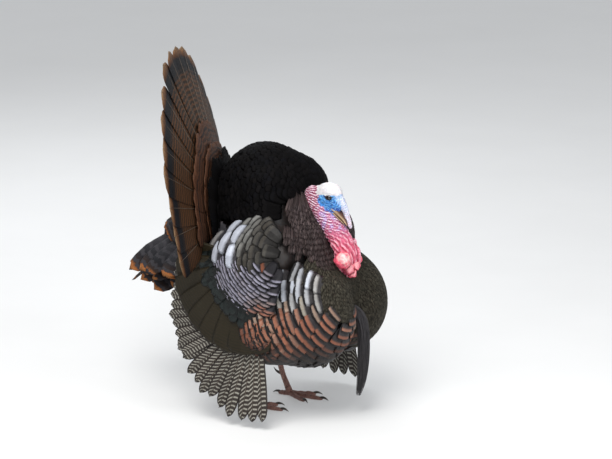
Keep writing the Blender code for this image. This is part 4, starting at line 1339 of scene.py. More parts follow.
covert_rows = rows_round(wing_field, COVERT_MIDDLE, COVERT_FRONT - COVERT_MIDDLE, 0.12, 2.4, 0.0112, 0.0185,
                         15)
covert_rows = picked(covert_rows, covert_keep(covert_rows[0], covert_rows[0] + 0.036 * covert_rows[1], 0.0,
                                              0.136))
edge_rows = rows_round(wing_field, COVERT_MIDDLE, COVERT_POLE_PLACE - COVERT_MIDDLE, 0.12, 2.2, 0.0110,
                       0.0160, 16)
edge_rows = picked(edge_rows, covert_keep(edge_rows[0], edge_rows[0], 0.098, 0.119)
                   & (edge_rows[0][:, 0] < 0.0))
for side, sign in (("left", 1), ("right", -1)):
    rooted = covert_rows if sign > 0 else mirrored(covert_rows)
    tract(f"feathers_covert_{side}", wing_field, rooted,
          lambda p: (p[:, 1] < 0) | (p[:, 0] < 0.012) | (p[:, 2] < 0.33),
          even_size(0.036, 0.0145), covert_finish,
          covert_tone, 41 + sign, columns=5, rise=(-0.006, 0.0038), curl=0.0008, camber=0.08, jitter=0.04,
          blunt=5.0)
    rooted = edge_rows if sign > 0 else mirrored(edge_rows)
    tract(f"feathers_edge_{side}", wing_field, rooted, lambda p: p[:, 2] > 0,
          even_size(0.052, 0.0135), edge_finish,
          covert_tone, 44 + sign, columns=5, rise=(0.0008, 0.0042), curl=0.0008, camber=0.08)

# ---------------------------------------------------------------- tail fan
# Eighteen broad tail feathers held up and spread past a half circle. Each has a stiff shaft and
# is dark brown with fine chestnut wavy bars, a blue-black band near the end and a rusty buff tip.
TAIL_FOOT = np.array((-0.188, 0.0, 0.450))
TAIL_YAW = math.radians(20)
TAIL_LEAN = math.radians(9)
TAIL_CONE = math.radians(11)
TAIL_SPREAD = math.radians(97)
TAIL_FEATHERS = 18
TAIL_LENGTH = 0.408            # middle feathers
TAIL_SIDE_LENGTH = 0.318       # outermost feathers


def flight_finish(name, stops, bar_colour, bar_count, bar_share, slant=0.0, roughness=0.5, wobble=0.25,
                  metallic=0.05, bar_fade=None, bar_edges=0.08, specular=0.25, chevron=0.0, edge_shade_width=0.0):
    """Finish of a long feather: ground colours along v from stops, crossed by wavy bars."""
    finish = Finish(name, roughness, metallic, specular)
    _, u, v = finish.uv("Vane")
    _, _, strength, light = finish.attribute("Tone")
    aside = finish.math("ABSOLUTE", finish.minus(u, 0.5))
    barb_line = finish.minus(v, finish.times(aside, 0.22))
    fine = finish.noise(finish.vector(finish.times(barb_line, 90.0),
                                      finish.times(u, 3.0), light), 1.0, 2.0)
    cloud = finish.noise(finish.vector(finish.times(v, 7.0),
                                       finish.times(u, 5.0), finish.times(light, 9.0)), 1.0, 3.0)
    ground = finish.ramp(finish.plus(v, finish.centred(fine, 0.02)), stops)
    lean = finish.plus(finish.centred(u, slant),
                       finish.times(aside, -chevron))
    count = finish.plus(finish.times(finish.plus(v, lean), bar_count), light)
    count = finish.plus(count, finish.centred(cloud, wobble * 4))
    wave = finish.math("PINGPONG", count, 0.5)
    bars = finish.ramp(finish.times(wave, 2.0), [(bar_share - bar_edges, 1.0), (bar_share + bar_edges, 0.0)])
    if bar_fade:
        bars = finish.times(bars, finish.ramp(v, bar_fade))
    bars = finish.times(bars, strength)
    # Painted shade: given an edge width, the bars fade out along the vane's edges, where the neighbouring
    # quills lie over it and shade it; they also stop at the shaft.
    if edge_shade_width:
        bars = finish.times(bars, finish.ramp(aside, [(0.5 - edge_shade_width - 0.03, 1.0), (0.5 - edge_shade_width, 0.0)]))
        bars = finish.times(bars, finish.ramp(aside, [(0.02, 0.0), (0.05, 1.0)]))
    colour = finish.mix(bars, ground, bar_colour)
    shade = finish.plus(0.70, finish.plus(finish.times(fine, 0.35),
                                                  finish.times(light, 0.25)))
    finish.shaded(colour, shade)
    barb = finish.math("SINE", finish.times(barb_line, 900.0))
    finish.bump(finish.plus(barb, finish.times(fine, 3.0)), 0.3, 0.0005)
    return finish.material


def strand_quads(stations):
    """Faces of a four-sided strand, closed at both ends."""
    last = 4 * stations - 4
    return np.vstack([tube_quads(stations, 4), [[3, 2, 1, 0]], [[last, last + 1, last + 2, last + 3]]])


def shafts(name, spine, up, size, finish):
    """Tapered four-sided shafts along the spines, standing a little proud of the vane."""
    count, stations = spine.shape[:2]
    along = unit(np.gradient(spine, axis=1))
    side = np.cross(up, along)
    turn = np.linspace(0, 2 * math.pi, 4, endpoint=False)
    thin = size * (1 - 0.86 * np.linspace(0, 1, stations)) * np.ones((count, 1))
    ring = np.cos(turn)[:, None] * side[:, :, None] + np.sin(turn)[:, None] * up[:, :, None]
    points = spine[:, :, None] + ring * thin[:, :, None, None]
    points = points.reshape(count, -1, 3)
    quads = (np.arange(count)[:, None, None] * points.shape[1] + strand_quads(stations)).reshape(-1, 4)
    piece = put_mesh(name, points.reshape(-1, 3) + HOME, quads, finish)
    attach(piece, "root")


def atlas(count, columns=6):
    """A patch of the map for each of a few long feathers, in rows and columns."""
    rows = -(-count // columns)
    number = np.arange(count)
    return np.stack([(number % columns + 0.5) / columns, (number // columns + 0.5) / rows,
                     np.full(count, 0.94 / columns), np.full(count, 0.94 / rows)], 1)


def cone_fan(angles, start, reach, layers, stations, roll):
    """Spines of a fan: way = cos(cone) (cos a up + sin a side) - sin(cone) front.

    layers moves each feather forward off the fan, so that neighbours lie over each other.
    """
    level = math.cos(TAIL_LEAN)
    front = np.array((math.cos(TAIL_YAW) * level, math.sin(TAIL_YAW) * level, math.sin(TAIL_LEAN)))
    aside = np.array((-math.sin(TAIL_YAW), math.cos(TAIL_YAW), 0.0))
    upward = np.cross(front, aside)
    flat = np.cos(angles)[:, None] * upward + np.sin(angles)[:, None] * aside
    way = math.cos(TAIL_CONE) * flat - math.sin(TAIL_CONE) * front
    length = start + (reach[:, None] - start) * stations
    spine = TAIL_FOOT + layers[:, None, None] * front + way[:, None] * length[..., None]
    along = unit(np.gradient(spine, axis=1))
    face = unit(np.broadcast_to(front, along.shape) - (along * front).sum(-1, keepdims=True) * along)
    side = np.cross(face, along)
    turned = side * np.cos(roll)[:, None, None] + face * np.sin(roll)[:, None, None]
    face = face * np.cos(roll)[:, None, None] - side * np.sin(roll)[:, None, None]
    return spine, turned, face


def quill_tone(picker, count, low=0.0, high=1.0):
    """Tones of long feathers: any warmth, full strength and a lightness from low to high."""
    return np.stack([picker.uniform(0, 1, count), np.ones(count), picker.uniform(low, high, count)], 1)


LONG = np.concatenate([np.linspace(0, 0.80, 17), np.linspace(0.83, 1.0, 9)])
tail_stops = [(0.0, (0.024, 0.016, 0.010)), (0.60, (0.024, 0.014, 0.008)), (0.80, (0.023, 0.013, 0.007)),
              (0.845, (0.007, 0.007, 0.008)), (0.925, (0.008, 0.008, 0.010)), (0.942, (0.060, 0.024, 0.010)),
              (0.975, (0.15, 0.075, 0.036)), (1.0, (0.24, 0.16, 0.09))]
tail_finish = flight_finish("tail_feathers", tail_stops, (0.085, 0.036, 0.015), 30.0, 0.42, roughness=0.55,
                            specular=0.15,
                            bar_fade=[(0.80, 1.0), (0.86, 0.0)], wobble=0.30)
shaft_finish = Finish("feather_shafts", 0.35)
shaft_finish.colour(shaft_finish.ramp(shaft_finish.noise(shaft_finish.place(), 60.0),
                                      [(0.3, (0.055, 0.038, 0.026)), (0.7, (0.10, 0.075, 0.055))]))
tail_rng = np.random.default_rng(51)
tail_number = np.arange(TAIL_FEATHERS) - (TAIL_FEATHERS - 1) / 2
tail_angles = tail_number / ((TAIL_FEATHERS - 1) / 2) * TAIL_SPREAD + tail_rng.normal(0, 0.008, TAIL_FEATHERS)
tail_reach = TAIL_SIDE_LENGTH + (TAIL_LENGTH - TAIL_SIDE_LENGTH) * np.cos(tail_angles / 2.1) ** 6
tail_reach = tail_reach + tail_rng.normal(0, 0.003, TAIL_FEATHERS)
tail_layers = 0.004 - 0.0009 * np.abs(tail_number)
tail_spine, tail_side, tail_up = cone_fan(tail_angles, 0.03, tail_reach, tail_layers, LONG,
                                          -0.045 * np.sign(tail_number))
tail_half = 0.0445 * outline(LONG, 0.14, 2.6, 0.90)
tail_tone = quill_tone(tail_rng, TAIL_FEATHERS, 0.2, 0.8)
tail_fan = feathers("feathers_tail_fan", tail_spine, tail_side, tail_up, tail_half, LONG,
                    tail_finish, atlas(TAIL_FEATHERS), tail_tone, columns=25, camber=0.05,
                    thick=0.0005, fray=0.006, seed=52, uneven=0.006)
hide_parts("tail_fan")
shafts("shafts_tail", tail_spine + tail_up * 0.0005, tail_up, 0.0019, shaft_finish.material)

# Rusty upper tail coverts, in three shortening rows over the foot of the fan in front.
rust_stops = [(0.0, (0.018, 0.013, 0.011)), (0.62, (0.028, 0.016, 0.011)), (0.82, (0.034, 0.016, 0.010)),
              (0.88, (0.010, 0.008, 0.008)), (0.93, (0.060, 0.023, 0.011)), (1.0, (0.085, 0.036, 0.017))]
rust_finish = flight_finish("rusty_feathers", rust_stops, (0.080, 0.034, 0.018), 16.0, 0.42, roughness=0.55,
                            specular=0.15)


def rows_over_fan(rows, spread, uneven, fuller, fall):
    """Rows of feathers over the foot of the fan; a row is its count, its reach and how far ahead it lies."""
    sets = []
    for count, reach, ahead in rows:
        number = np.arange(count) - (count - 1) / 2
        angles = number / ((count - 1) / 2) * spread + tail_rng.normal(0, 0.02, count)
        reaches = reach + fuller * np.abs(np.sin(angles)) + tail_rng.normal(0, uneven, count)
        layers = ahead - fall * np.abs(number)
        sets.append(cone_fan(angles, 0.02, reaches, layers, STATIONS, tail_rng.normal(0, 0.03, count)))
    return [np.vstack(part) for part in zip(*sets)]


rust_spine, rust_side, rust_up = rows_over_fan(
    ((21, 0.222, 0.0120), (18, 0.175, 0.0170), (15, 0.130, 0.0220)), TAIL_SPREAD - 0.02, 0.005, 0.0, 0.0007)
rust_count = len(rust_spine)
rust_half = 0.0290 * outline(STATIONS, 0.3, 3.0, 0.80)
rust_tone = quill_tone(tail_rng, rust_count)
rust = feathers("feathers_tail_coverts", rust_spine, rust_side, rust_up, rust_half, STATIONS,
                rust_finish, atlas(rust_count, 8), rust_tone, columns=11, fray=0.003,
                seed=53,
                uneven=0.02, camber=0.06)
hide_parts("tail_coverts_upper")

# Black back feathers that lie forward of the rusty ones and hide their roots.
ruff_spine, ruff_side, ruff_up = rows_over_fan(
    ((21, 0.136, 0.0290), (19, 0.094, 0.0330)), TAIL_SPREAD + 0.12, 0.004, 0.050, 0.0006)
ruff_count = len(ruff_spine)
ruff_half = 0.0240 * outline(STATIONS, 0.3, 3.0, 0.74)
ruff_tone = plain_tone(ruff_spine[:, 0], np.random.default_rng(54))
feathers("feathers_tail_root", ruff_spine, ruff_side, ruff_up, ruff_half, STATIONS,
         back_finish, atlas(ruff_count, 8), ruff_tone, columns=9, fray=0.004, seed=55,
         uneven=0.02, camber=0.10)

# Undertail coverts: a deep soft skirt behind and below the fan, charcoal with rusty tips.
SKIRT_FOOT = np.array((-0.185, 0.0, 0.385))
under_stops = [(0.0, (0.014, 0.013, 0.015)), (0.70, (0.024, 0.023, 0.027)), (0.86, (0.010, 0.010, 0.013)),
               (0.935, (0.030, 0.018, 0.014)), (0.962, (0.30, 0.105, 0.030)), (1.0, (0.40, 0.18, 0.07))]
under_finish = flight_finish("undertail_feathers", under_stops, (0.034, 0.032, 0.037), 12.0, 0.4,
                             roughness=0.62,
                             specular=0.12)


def skirt_row(count, spread, reach, side_reach, rise, droop, seed):
    """A row of drooping feathers: back cos a, aside sin a, and down with the length squared.

    Those to either side turn their faces outwards.
    """
    picker = np.random.default_rng(seed)
    angle = np.linspace(-spread, spread, count) + picker.normal(0, 0.03, count)
    length = side_reach + (reach - side_reach) * np.cos(angle) ** 2 + picker.normal(0, 0.008, count)
    run = length[:, None] * STATIONS
    drop = rise + 0.30 * run - (droop + 1.1 * np.sin(angle)[:, None] ** 2) * run**2
    spine = SKIRT_FOOT + np.stack([-np.cos(angle)[:, None] * run, np.sin(angle)[:, None] * run, drop], -1)
    along = unit(np.gradient(spine, axis=1))
    side = np.stack([-np.sin(angle), -np.cos(angle), np.zeros(count)],
                    1)[:, None] * np.ones((1, len(STATIONS), 1))
    face = unit(np.cross(along, side))
    outward = (np.sign(angle) * smooth_step(np.abs(angle), 0.0, 0.5))[:, None,
                                                                      None] * np.array((0.0, 1.3, 0.0))
    face = face + outward
    face = unit(face - (face * along).sum(-1, keepdims=True) * along)
    return spine, np.cross(face, along), face


skirt_sets = [skirt_row(13, 1.35, 0.262, 0.165, 0.000, 2.35, 61),
              skirt_row(14, 1.45, 0.235, 0.150, -0.026, 2.7, 62),
              skirt_row(13, 1.45, 0.205, 0.140, -0.052, 3.0, 63),
              skirt_row(12, 1.5, 0.165, 0.130, 0.022, 1.8, 64),
              skirt_row(11, 1.5, 0.110, 0.100, 0.045, 0.6, 65)]
skirt_spine, skirt_side, skirt_up = (np.vstack(part) for part in zip(*skirt_sets))
skirt_count = len(skirt_spine)
skirt_rng = np.random.default_rng(66)
skirt_half = 0.033 * outline(STATIONS, 0.5, 3.2, 0.72)[None, :] * skirt_rng.uniform(0.85, 1.1,
                                                                                    (skirt_count, 1))
skirt_tone = np.stack([np.ones(skirt_count), np.ones(skirt_count), skirt_rng.uniform(0, 1, skirt_count)], 1)
skirt = feathers("feathers_undertail", skirt_spine, skirt_side, skirt_up, skirt_half,
                 STATIONS, under_finish, atlas(skirt_count, 8), skirt_tone, columns=11,
                 camber=0.18, fray=0.003, seed=67, uneven=0.02)
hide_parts("tail_coverts_under")

# ---------------------------------------------------------------- wing quills
# The hanging wing: an olive-brown panel of smooth inner feathers, and under it the long outer
# quills, dark brown with slanting white bars, fanned down and back almost to the ground.
WRIST = (0.000, 0.270)
ELBOW = (-0.020, 0.380)


def wing_fan(root, sign, inward, middle, angles, start, reach, layers, roll):
    """Spines on the flank: x = root - sin(a + middle) L, z = root - cos(a + middle) L."""
    length = start + (reach[:, None] - start) * QUILL
    turn = angles[:, None] + middle
    x = root[0] - np.sin(turn) * length
    z = root[1] - np.cos(turn) * length
    y = sign * (flank(x, z) - inward + layers[:, None])
    spine = np.stack([x, y, z], -1)
    along = unit(np.gradient(spine, axis=1))
    out = np.broadcast_to((0.0, float(sign), 0.0), along.shape)
    face = unit(out - (along * out).sum(-1, keepdims=True) * along)
    side = np.cross(face, along)
    tilt = roll * sign
    turned = side * math.cos(tilt) + face * math.sin(tilt)
    return spine, turned, face * math.cos(tilt) - side * math.sin(tilt)


barred_stops = [(0.0, (0.026, 0.021, 0.018)), (0.9, (0.032, 0.025, 0.021)), (1.0, (0.024, 0.019, 0.017))]
# The primaries' bars stop short of the vane edges, as painted shade where the quills overlap.
barred_finish = flight_finish("primary_feathers", barred_stops, (0.29, 0.275, 0.235), 21.0, 0.36, slant=0.08,
                              roughness=0.45, wobble=0.12, bar_edges=0.08, chevron=0.07, edge_shade_width=0.10)
olive_stops = [(0.0, (0.017, 0.0135, 0.0065)), (0.80, (0.019, 0.015, 0.0070)), (0.95, (0.015, 0.012, 0.006)),
               (1.0, (0.020, 0.016, 0.009))]
olive_finish = flight_finish("tertial_feathers", olive_stops, (0.023, 0.0165, 0.008), 26.0, 0.4,
                             roughness=0.45,
                             wobble=0.3, metallic=0.1, specular=0.2)
wing_rng = np.random.default_rng(71)
QUILL = np.concatenate([np.linspace(0, 0.88, 15), np.linspace(0.92, 1.0, 4)])
QUILLS = 11                     # in each barred row
# piece, node, depth in the flank, middle, first and last angle, start, reach, its dip, half-width,
# shape of the tip, columns, fray and seed
BARRED_ROWS = (
    ("primary", "primaries", 0.0125, 28, -34, 34, 0.03, 0.249, 0.012, 0.0155, (2.2, 0.80), 11, 0.005, 72),
    ("secondary", "secondaries", 0.0065, 87, -28, 30, 0.05, 0.237, 0.0, 0.0150, (2.6, 0.84), 9, 0.004, 75),
)
for side, sign in (("left", 1), ("right", -1)):
    for row, node, inward, middle, first, last, start, reach, dip, width, *shape in BARRED_ROWS:
        tip, columns, fray, seed = shape
        angles = np.linspace(math.radians(first), math.radians(last), QUILLS) + wing_rng.normal(0, 0.012,
                                                                                                QUILLS)
        reaches = reach - dip * np.sin(angles) + wing_rng.normal(0, 0.004, QUILLS)
        layers = 0.0016 * (np.arange(QUILLS) - 5) / 5
        spine, across, up = wing_fan(WRIST, sign, inward, math.radians(middle), angles, start, reaches,
                                     layers, 0.05)
        quills = feathers(f"quills_{row}_{side}", spine, across, up, width * outline(QUILL, 0.5, *tip), QUILL,
                          barred_finish, atlas(QUILLS), quill_tone(wing_rng, QUILLS),
                          columns=columns, fray=fray, seed=seed + sign, uneven=0.012, camber=0.10)
        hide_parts(f"{node}_{side}")
        if row == "primary":
            shafts(f"shafts_primary_{side}", spine + up * 0.0006, up, 0.0013, shaft_finish.material)
    count = 9
    angles = np.linspace(math.radians(-50), math.radians(50), count)
    reach = 0.187 + 0.026 * np.cos(angles * 1.2) + wing_rng.normal(0, 0.002, count)
    layers = 0.0008 * (np.arange(count) - 4) / 4
    spine, across, up = wing_fan(ELBOW, sign, 0.0, math.radians(41), angles, 0.02, reach, layers, 0.008)
    quills = feathers(f"quills_inner_{side}", spine, across, up, 0.0380 * outline(QUILL, 0.4, 4.0, 0.84),
                      QUILL,
                      olive_finish, atlas(count), quill_tone(wing_rng, count, 0.2, 0.6),
                      columns=11, seed=78 + sign, camber=0.02)
    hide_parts(f"tertials_{side}")

# ---------------------------------------------------------------- beard
# A tassel of coarse black bristles, like horsehair, that grows from the middle of the breast.
BEARD_LINE = smooth_line((
    (0.1080, 0.0, 0.2620, 0.0080, 0.0100),
    (0.1400, 0.0, 0.2560, 0.0095, 0.0130),
    (0.1620, 0.0, 0.2330, 0.0115, 0.0165),
    (0.1690, 0.0, 0.1900, 0.0130, 0.0190),
    (0.1690, 0.0, 0.1350, 0.0125, 0.0185),
    (0.1640, 0.0, 0.0850, 0.0100, 0.0150),
    (0.1550, 0.0, 0.0480, 0.0050, 0.0070),
), 20)
beard_finish = Finish("beard_bristle", 0.42)
_, bristle_u, bristle_v = beard_finish.uv("Strand")
bristle_tint = beard_finish.noise(beard_finish.vector(beard_finish.times(bristle_u, 400.0), bristle_v), 1.0)
beard_finish.colour(beard_finish.ramp(bristle_tint,
                                      [(0.3, (0.012, 0.010, 0.012)), (0.7, (0.060, 0.055, 0.060))]))
beard_rng = np.random.default_rng(81)
BRISTLES = 260
BRISTLE_RINGS = 16
BRISTLE_SIDES = 4
BRISTLE_RADIUS = 0.00085
turn = beard_rng.uniform(0, 2 * math.pi, BRISTLES)
out = np.sqrt(beard_rng.uniform(0.05, 1.0, BRISTLES))
ending = np.clip(1.0 - 0.28 * beard_rng.uniform(0, 1, BRISTLES) ** 2, 0, 1)
steps = np.linspace(0, 1, BRISTLE_RINGS)
where = ending[:, None] * steps * (len(BEARD_LINE) - 1)
row = np.minimum(where.astype(int), len(BEARD_LINE) - 2)
rest = (where - row)[..., None]
middle = BEARD_LINE[row] * (1 - rest) + BEARD_LINE[row + 1] * rest
along = unit(BEARD_LINE[row + 1, :3] - BEARD_LINE[row, :3])
fore = np.cross(np.broadcast_to((0.0, 1.0, 0.0), along.shape), along)
spin = turn[:, None] + 0.35 * np.sin(3 * steps + 6 * beard_rng.uniform(0, 1, (BRISTLES, 1)))
bristle = middle[..., :3] + (np.sin(spin) * out[:, None] * middle[..., 3])[..., None] * fore
bristle = bristle + (np.cos(spin) * out[:, None] * middle[..., 4])[..., None] * np.array((0.0, 1.0, 0.0))
ring = np.linspace(0, 2 * math.pi, BRISTLE_SIDES, endpoint=False)
thin = BRISTLE_RADIUS * (1 - 0.75 * steps)
side_way = np.array((0.0, 1.0, 0.0))
tubes = bristle[:, :, None] + thin[None, :, None, None] * (
    np.cos(ring)[:, None] * side_way + np.sin(ring)[:, None] * fore[:, :, None])
tubes = tubes.reshape(BRISTLES, -1, 3)
bristle_quads = strand_quads(BRISTLE_RINGS)
bristle_quads = (np.arange(BRISTLES)[:, None, None] * tubes.shape[1] + bristle_quads).reshape(-1, 4)
beard = put_mesh("bristles", tubes.reshape(-1, 3) + HOME, bristle_quads, beard_finish.material)
bristle_shape = (BRISTLES, BRISTLE_RINGS, BRISTLE_SIDES)
strand_u = np.broadcast_to((np.arange(BRISTLES)[:, None, None] + 0.5) / BRISTLES, bristle_shape)
strand_v = np.broadcast_to(steps[None, :, None], bristle_shape)
add_map(beard, "Strand", np.stack([strand_u, strand_v], -1).reshape(-1, 2))
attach(beard, "root")
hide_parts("beard")

# ---------------------------------------------------------------- bill
# Two horn sheaths: a decurved upper one and a narrower lower one.


def horn_tube(name, line, sides, finish, square=2.3):
    """Oval tube along a line in an upright plane; rows are x, y, z, half-height, half-width."""
    middle = line[:, :3]
    along = unit(np.gradient(middle, axis=0))
    side = unit(np.cross(along, (0.0, 0.0, 1.0)))
    side = np.where(np.abs(side[:, 1:2]) > 0.01, side * np.sign(side[:, 1:2]), (0.0, 1.0, 0.0))
    over = np.cross(side, along)
    turn = np.linspace(0, 2 * math.pi, sides, endpoint=False)
    c, s = np.cos(turn), np.sin(turn)
    round_off = (np.abs(c) ** square + np.abs(s) ** square) ** (-1 / square)
    rings = middle[:, None] + (c * round_off)[None, :, None] * line[:, None, 4:5] * side[:, None]
    rings = rings + (s * round_off)[None, :, None] * line[:, None, 3:4] * over[:, None]
    quads = tube_quads(len(line), sides)
    count = len(line) * sides
    caps = []
    for base in (0, count - sides):
        ring_numbers = [base + i for i in range(sides)]
        for i in range(0, sides // 2 - 1):
            a, b = ring_numbers[i], ring_numbers[i + 1]
            c1, d = ring_numbers[sides - 2 - i], ring_numbers[sides - 1 - i]
            caps.append([a, b, c1, d] if base else [d, c1, b, a])
    piece = put_mesh(name, rings.reshape(-1, 3) + HOME, np.vstack([quads, caps]), finish)
    places = np.stack(np.broadcast_arrays(turn[None] / (2 * math.pi),
                                          np.linspace(0, 1, len(line))[:, None]), -1)
    add_map(piece, "Along", places.reshape(-1, 2))
    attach(piece, "root")
    return piece


bill_finish = Finish("bill_horn", 0.32)
_, bill_u, bill_v = bill_finish.uv("Along")
bill_grain = bill_finish.noise(bill_finish.vector(bill_finish.times(bill_v, 3.0),
                                                  bill_finish.times(bill_u, 26.0)), 1.0, 4.0)
bill_side = bill_finish.math("COSINE", bill_finish.times(bill_u, 4 * math.pi))
bill_stripe = bill_finish.ramp(bill_finish.plus(bill_side, bill_finish.times(bill_grain, 0.5)),
                               [(0.1, (0.085, 0.035, 0.024)), (0.75, (0.27, 0.15, 0.09)),
                                (1.15, (0.52, 0.38, 0.25))])
bill_shade = bill_finish.ramp(bill_finish.plus(bill_v, bill_finish.times(bill_grain, 0.2)),
                              [(0.14, 0.0), (0.34, 1.0)])
bill_shade = bill_finish.mix(bill_shade, (0.10, 0.018, 0.018), bill_stripe)
bill_streak = bill_finish.ramp(bill_grain, [(0.35, (0.6, 0.55, 0.5)), (0.62, (1.1, 1.1, 1.0))])
bill_finish.colour(bill_finish.mix(1.0, bill_shade, bill_streak, "MULTIPLY"))
bill_finish.bump(bill_grain, 0.25, 0.0004)
upper_line = smooth_line((
    (0.0860, HEAD_Y, 0.4985, 0.0034, 0.0130),
    (0.0945, HEAD_Y, 0.4965, 0.0046, 0.0150),
    (0.1035, HEAD_Y, 0.4915, 0.0056, 0.0140),
    (0.1120, HEAD_Y, 0.4845, 0.0058, 0.0110),
    (0.1205, HEAD_Y, 0.4760, 0.0050, 0.0080),
    (0.1280, HEAD_Y, 0.4670, 0.0038, 0.0052),
    (0.1325, HEAD_Y, 0.4595, 0.0024, 0.0030),
    (0.1342, HEAD_Y, 0.4550, 0.0010, 0.0012),
), 34)
upper_bill = horn_tube("beak_upper", upper_line, 24, bill_finish.material)
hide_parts("bill_upper")
lower_line = smooth_line((
    (0.0860, HEAD_Y, 0.4925, 0.0028, 0.0122),
    (0.0955, HEAD_Y, 0.4880, 0.0032, 0.0128),
    (0.1065, HEAD_Y, 0.4795, 0.0030, 0.0100),
    (0.1170, HEAD_Y, 0.4690, 0.0024, 0.0062),
    (0.1245, HEAD_Y, 0.4610, 0.0016, 0.0034),
    (0.1268, HEAD_Y, 0.4580, 0.0008, 0.0012),
), 24)
lower_bill = horn_tube("beak_lower", lower_line, 20, bill_finish.material)
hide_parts("bill_lower")

# ---------------------------------------------------------------- legs, claws and spurs
# Bare pinkish-brown legs under rows of hard plates, blunt dark claws and a gobbler's spurs.
leg_finish = Finish("scaly_leg", 0.48)
_, leg_u, leg_v = leg_finish.uv("Along")
leg_plate = leg_finish.cells(leg_finish.vector(leg_finish.times(leg_u, 7.0),
                                               leg_finish.times(leg_v, 30.0)), 1.0, "DISTANCE_TO_EDGE")
leg_seam = leg_finish.ramp(leg_plate, [(0.0, 0.0), (0.09, 1.0)])
leg_cloud = leg_finish.noise(leg_finish.place(), 110.0, 4.0)
leg_shade = leg_finish.ramp(leg_cloud, [(0.3, (0.22, 0.095, 0.075)), (0.7, (0.40, 0.21, 0.165))])
leg_finish.colour(leg_finish.mix(leg_seam, (0.10, 0.045, 0.038), leg_shade))
leg_finish.bump(leg_seam, 0.6, 0.0007)
claw_finish = Finish("claw", 0.3)
_, claw_u, claw_v = claw_finish.uv("Along")
claw_grain = claw_finish.noise(claw_finish.vector(claw_finish.times(claw_v, 2.0),
                                                  claw_finish.times(claw_u, 18.0)), 1.0, 3.0)
claw_finish.colour(claw_finish.mix(claw_grain, (0.018, 0.013, 0.012), (0.075, 0.055, 0.045)))
TOES = ((-30, 0.066), (0, 0.088), (30, 0.062), (180, 0.030))
CLAW_LENGTH = 0.016


def limb(line, sides, ribs, depth):
    """Round tube along any line (x, y, z, radius) with ring-shaped plates: saw-toothed ribs."""
    middle = line[:, :3]
    along = unit(np.gradient(middle, axis=0))
    side = unit(np.cross(along, (0.0, 0.0, 1.0)) + np.array((0.0, 1e-4, 0.0)))
    side = np.where((np.abs(along[:, 2:]) > 0.9), unit(np.array((0.0, 1.0, 0.0)) - along * along[:, 1:2]),
                    side)
    side = side * np.where((side * side[len(side) // 2]).sum(1, keepdims=True) < 0, -1, 1)
    over = np.cross(side, along)
    turn = np.linspace(0, 2 * math.pi, sides, endpoint=False)
    share = np.linspace(0, 1, len(line))
    radius = line[:, 3] + depth * (1 - (share * ribs) % 1)
    spin = np.cos(turn)[None, :, None] * side[:, None] + np.sin(turn)[None, :, None] * over[:, None]
    rings = middle[:, None] + spin * radius[:, None, None]
    rings[..., 2] = np.maximum(rings[..., 2], 0.0)
    caps = [[sides - 1 - i, sides - 2 - i, i + 1, i] for i in range(sides // 2 - 1)]
    base = (len(line) - 1) * sides
    ends = [[base + i, base + i + 1, base + sides - 2 - i, base + sides - 1 - i]
            for i in range(sides // 2 - 1)]
    quads = np.vstack([tube_quads(len(line), sides), caps, ends])
    places = np.stack(np.broadcast_arrays(turn[None] / (2 * math.pi), share[:, None]), -1).reshape(-1, 2)
    return rings.reshape(-1, 3), quads, places


def joined(name, parts, finish, slot, *nodes):
    """Several tubes as one mesh."""
    points, quads, places, before = [], [], [], 0
    for part_points, part_quads, part_places in parts:
        points.append(part_points)
        quads.append(np.asarray(part_quads) + before)
        places.append(part_places)
        before += len(part_points)
    piece = put_mesh(name, np.vstack(points) + HOME, np.vstack(quads), finish)
    add_map(piece, "Along", np.vstack(places))
    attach(piece, "root")
    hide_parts(*nodes)
    return piece


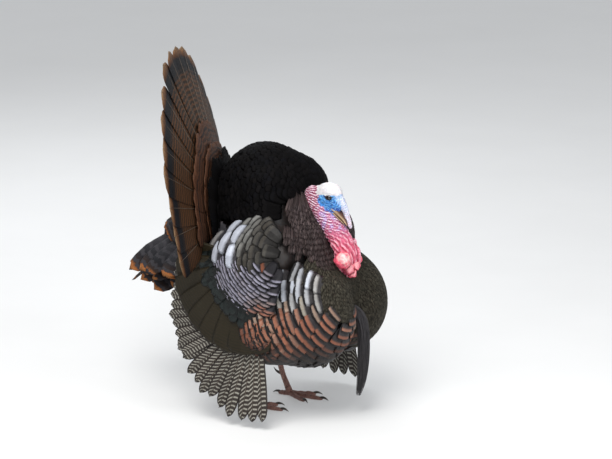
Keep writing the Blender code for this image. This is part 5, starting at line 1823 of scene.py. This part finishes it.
for side, sign in (("left", 1), ("right", -1)):
    x, y = FOOT_X[side], LEG_Y * sign
    shank = smooth_line((
        (x - 0.034, y, 0.128, 0.0084), (x - 0.032, y, 0.095, 0.0074), (x - 0.025, y, 0.070, 0.0062),
        (x - 0.018, y, 0.048, 0.0060), (x - 0.008, y, 0.026, 0.0068), (x - 0.002, y, 0.012, 0.0078),
        (x, y, 0.004, 0.0070),
    ), 88)
    parts = [limb(shank, 16, 17, 0.0006)]
    claws = []
    for turn, length in TOES:
        way = np.array((math.cos(math.radians(turn * sign)), math.sin(math.radians(turn * sign)), 0.0))
        foot = np.array((x, y, 0.0))
        knots = []
        for reach_share, size, rise in ((-0.04, 0.80, 0.0060), (0.12, 1.02, 0.0062), (0.30, 0.86, 0.0052),
                                        (0.42, 0.96, 0.0050), (0.58, 0.80, 0.0044), (0.70, 0.90, 0.0046),
                                        (0.86, 0.74, 0.0040), (0.96, 0.60, 0.0042), (1.0, 0.40, 0.0045)):
            knots.append((*(foot + way * length * reach_share + (0, 0, rise)), 0.0062 * size))
        parts.append(limb(smooth_line(knots, 64), 14, 15 if length > 0.05 else 7, 0.0004))
        tip = foot + way * length
        nail = []
        for reach_share, size, rise in ((-0.30, 0.95, 0.0062), (0.10, 0.95, 0.0072), (0.45, 0.72, 0.0064),
                                        (0.75, 0.42, 0.0044), (1.0, 0.10, 0.0016)):
            nail.append((*(tip + way * CLAW_LENGTH * reach_share + (0, 0, rise)), 0.0032 * size))
        claws.append(limb(smooth_line(nail, 22), 12, 1, 0.0))
    joined(f"leg_{side}", parts, leg_finish.material, "leg_scales", f"foot_{side}")
    back_x = x - 0.020
    spur = smooth_line(((back_x + 0.003, y, 0.052, 0.0042), (back_x - 0.008, y, 0.0525, 0.0036),
                        (back_x - 0.017, y, 0.0565, 0.0022), (back_x - 0.024, y, 0.0640, 0.0004)), 22)
    claws.append(limb(spur, 12, 1, 0.0))
    joined(f"claws_{side}", claws, claw_finish.material, "claw_horn", f"claw_{side}_1", f"claw_{side}_2",
           f"claw_{side}_3", f"claw_{side}_4", f"spur_{side}")

# ---------------------------------------------------------------- rump and thighs
# Short dark fluffy feathers fill the rump behind the wings and cover the drumsticks.
fluff_finish = body_finish("fluff_feathers", (0.050, 0.036, 0.028), (0.014, 0.010, 0.009),
                           (0.010, 0.008, 0.008),
                           [(0.0, (0.10, 0.065, 0.045)), (1.0, (0.07, 0.045, 0.032))], 0.72, 0.96, 0.65, 0.0)


def rump_keep(points):
    """The trunk between and under the wings, behind the breast."""
    x, y, z = split(points)
    return (x < 0.004) & (z < 0.43) & ((z > 0.205) | (x < -0.10)) & ((np.abs(y) < 0.10) | (x < -0.06))


rump_rows = rows_round(trunk_field, BREAST_MIDDLE * (0, 0, 1) + (-0.02, 0, 0.02), (1.0, 0.0, -0.05), 0.9,
                       3.05,
                       0.021, 0.022, 91)
tract("feathers_rump", trunk_field, rump_rows, rump_keep,
      even_size(0.050, 0.0145), fluff_finish,
      plain_tone, 92, columns=5, rise=(-0.006, 0.004), uneven=0.04, jitter=0.1)
for side, sign in (("left", 1), ("right", -1)):
    masses = thigh_masses(side, sign)

    def thigh_field(points, masses=masses):
        """Outer level of a drumstick's feathers."""
        return mass_depth(split(points), masses, 0.008)

    thigh_middle = np.array((FOOT_X[side] - 0.008, LEG_Y * sign, 0.160))
    thigh_rows = rows_round(thigh_field, thigh_middle, (0.35, 0.0, 1.0), 0.5, 2.95, 0.0075, 0.0085, 93)
    tract(f"feathers_thigh_{side}", thigh_field, thigh_rows, lambda p: p[:, 2] < 0.22,
          even_size(0.022, 0.0055), fluff_finish,
          plain_tone, 94, columns=3, rise=(-0.002, 0.0018), uneven=0.03, jitter=0.1)
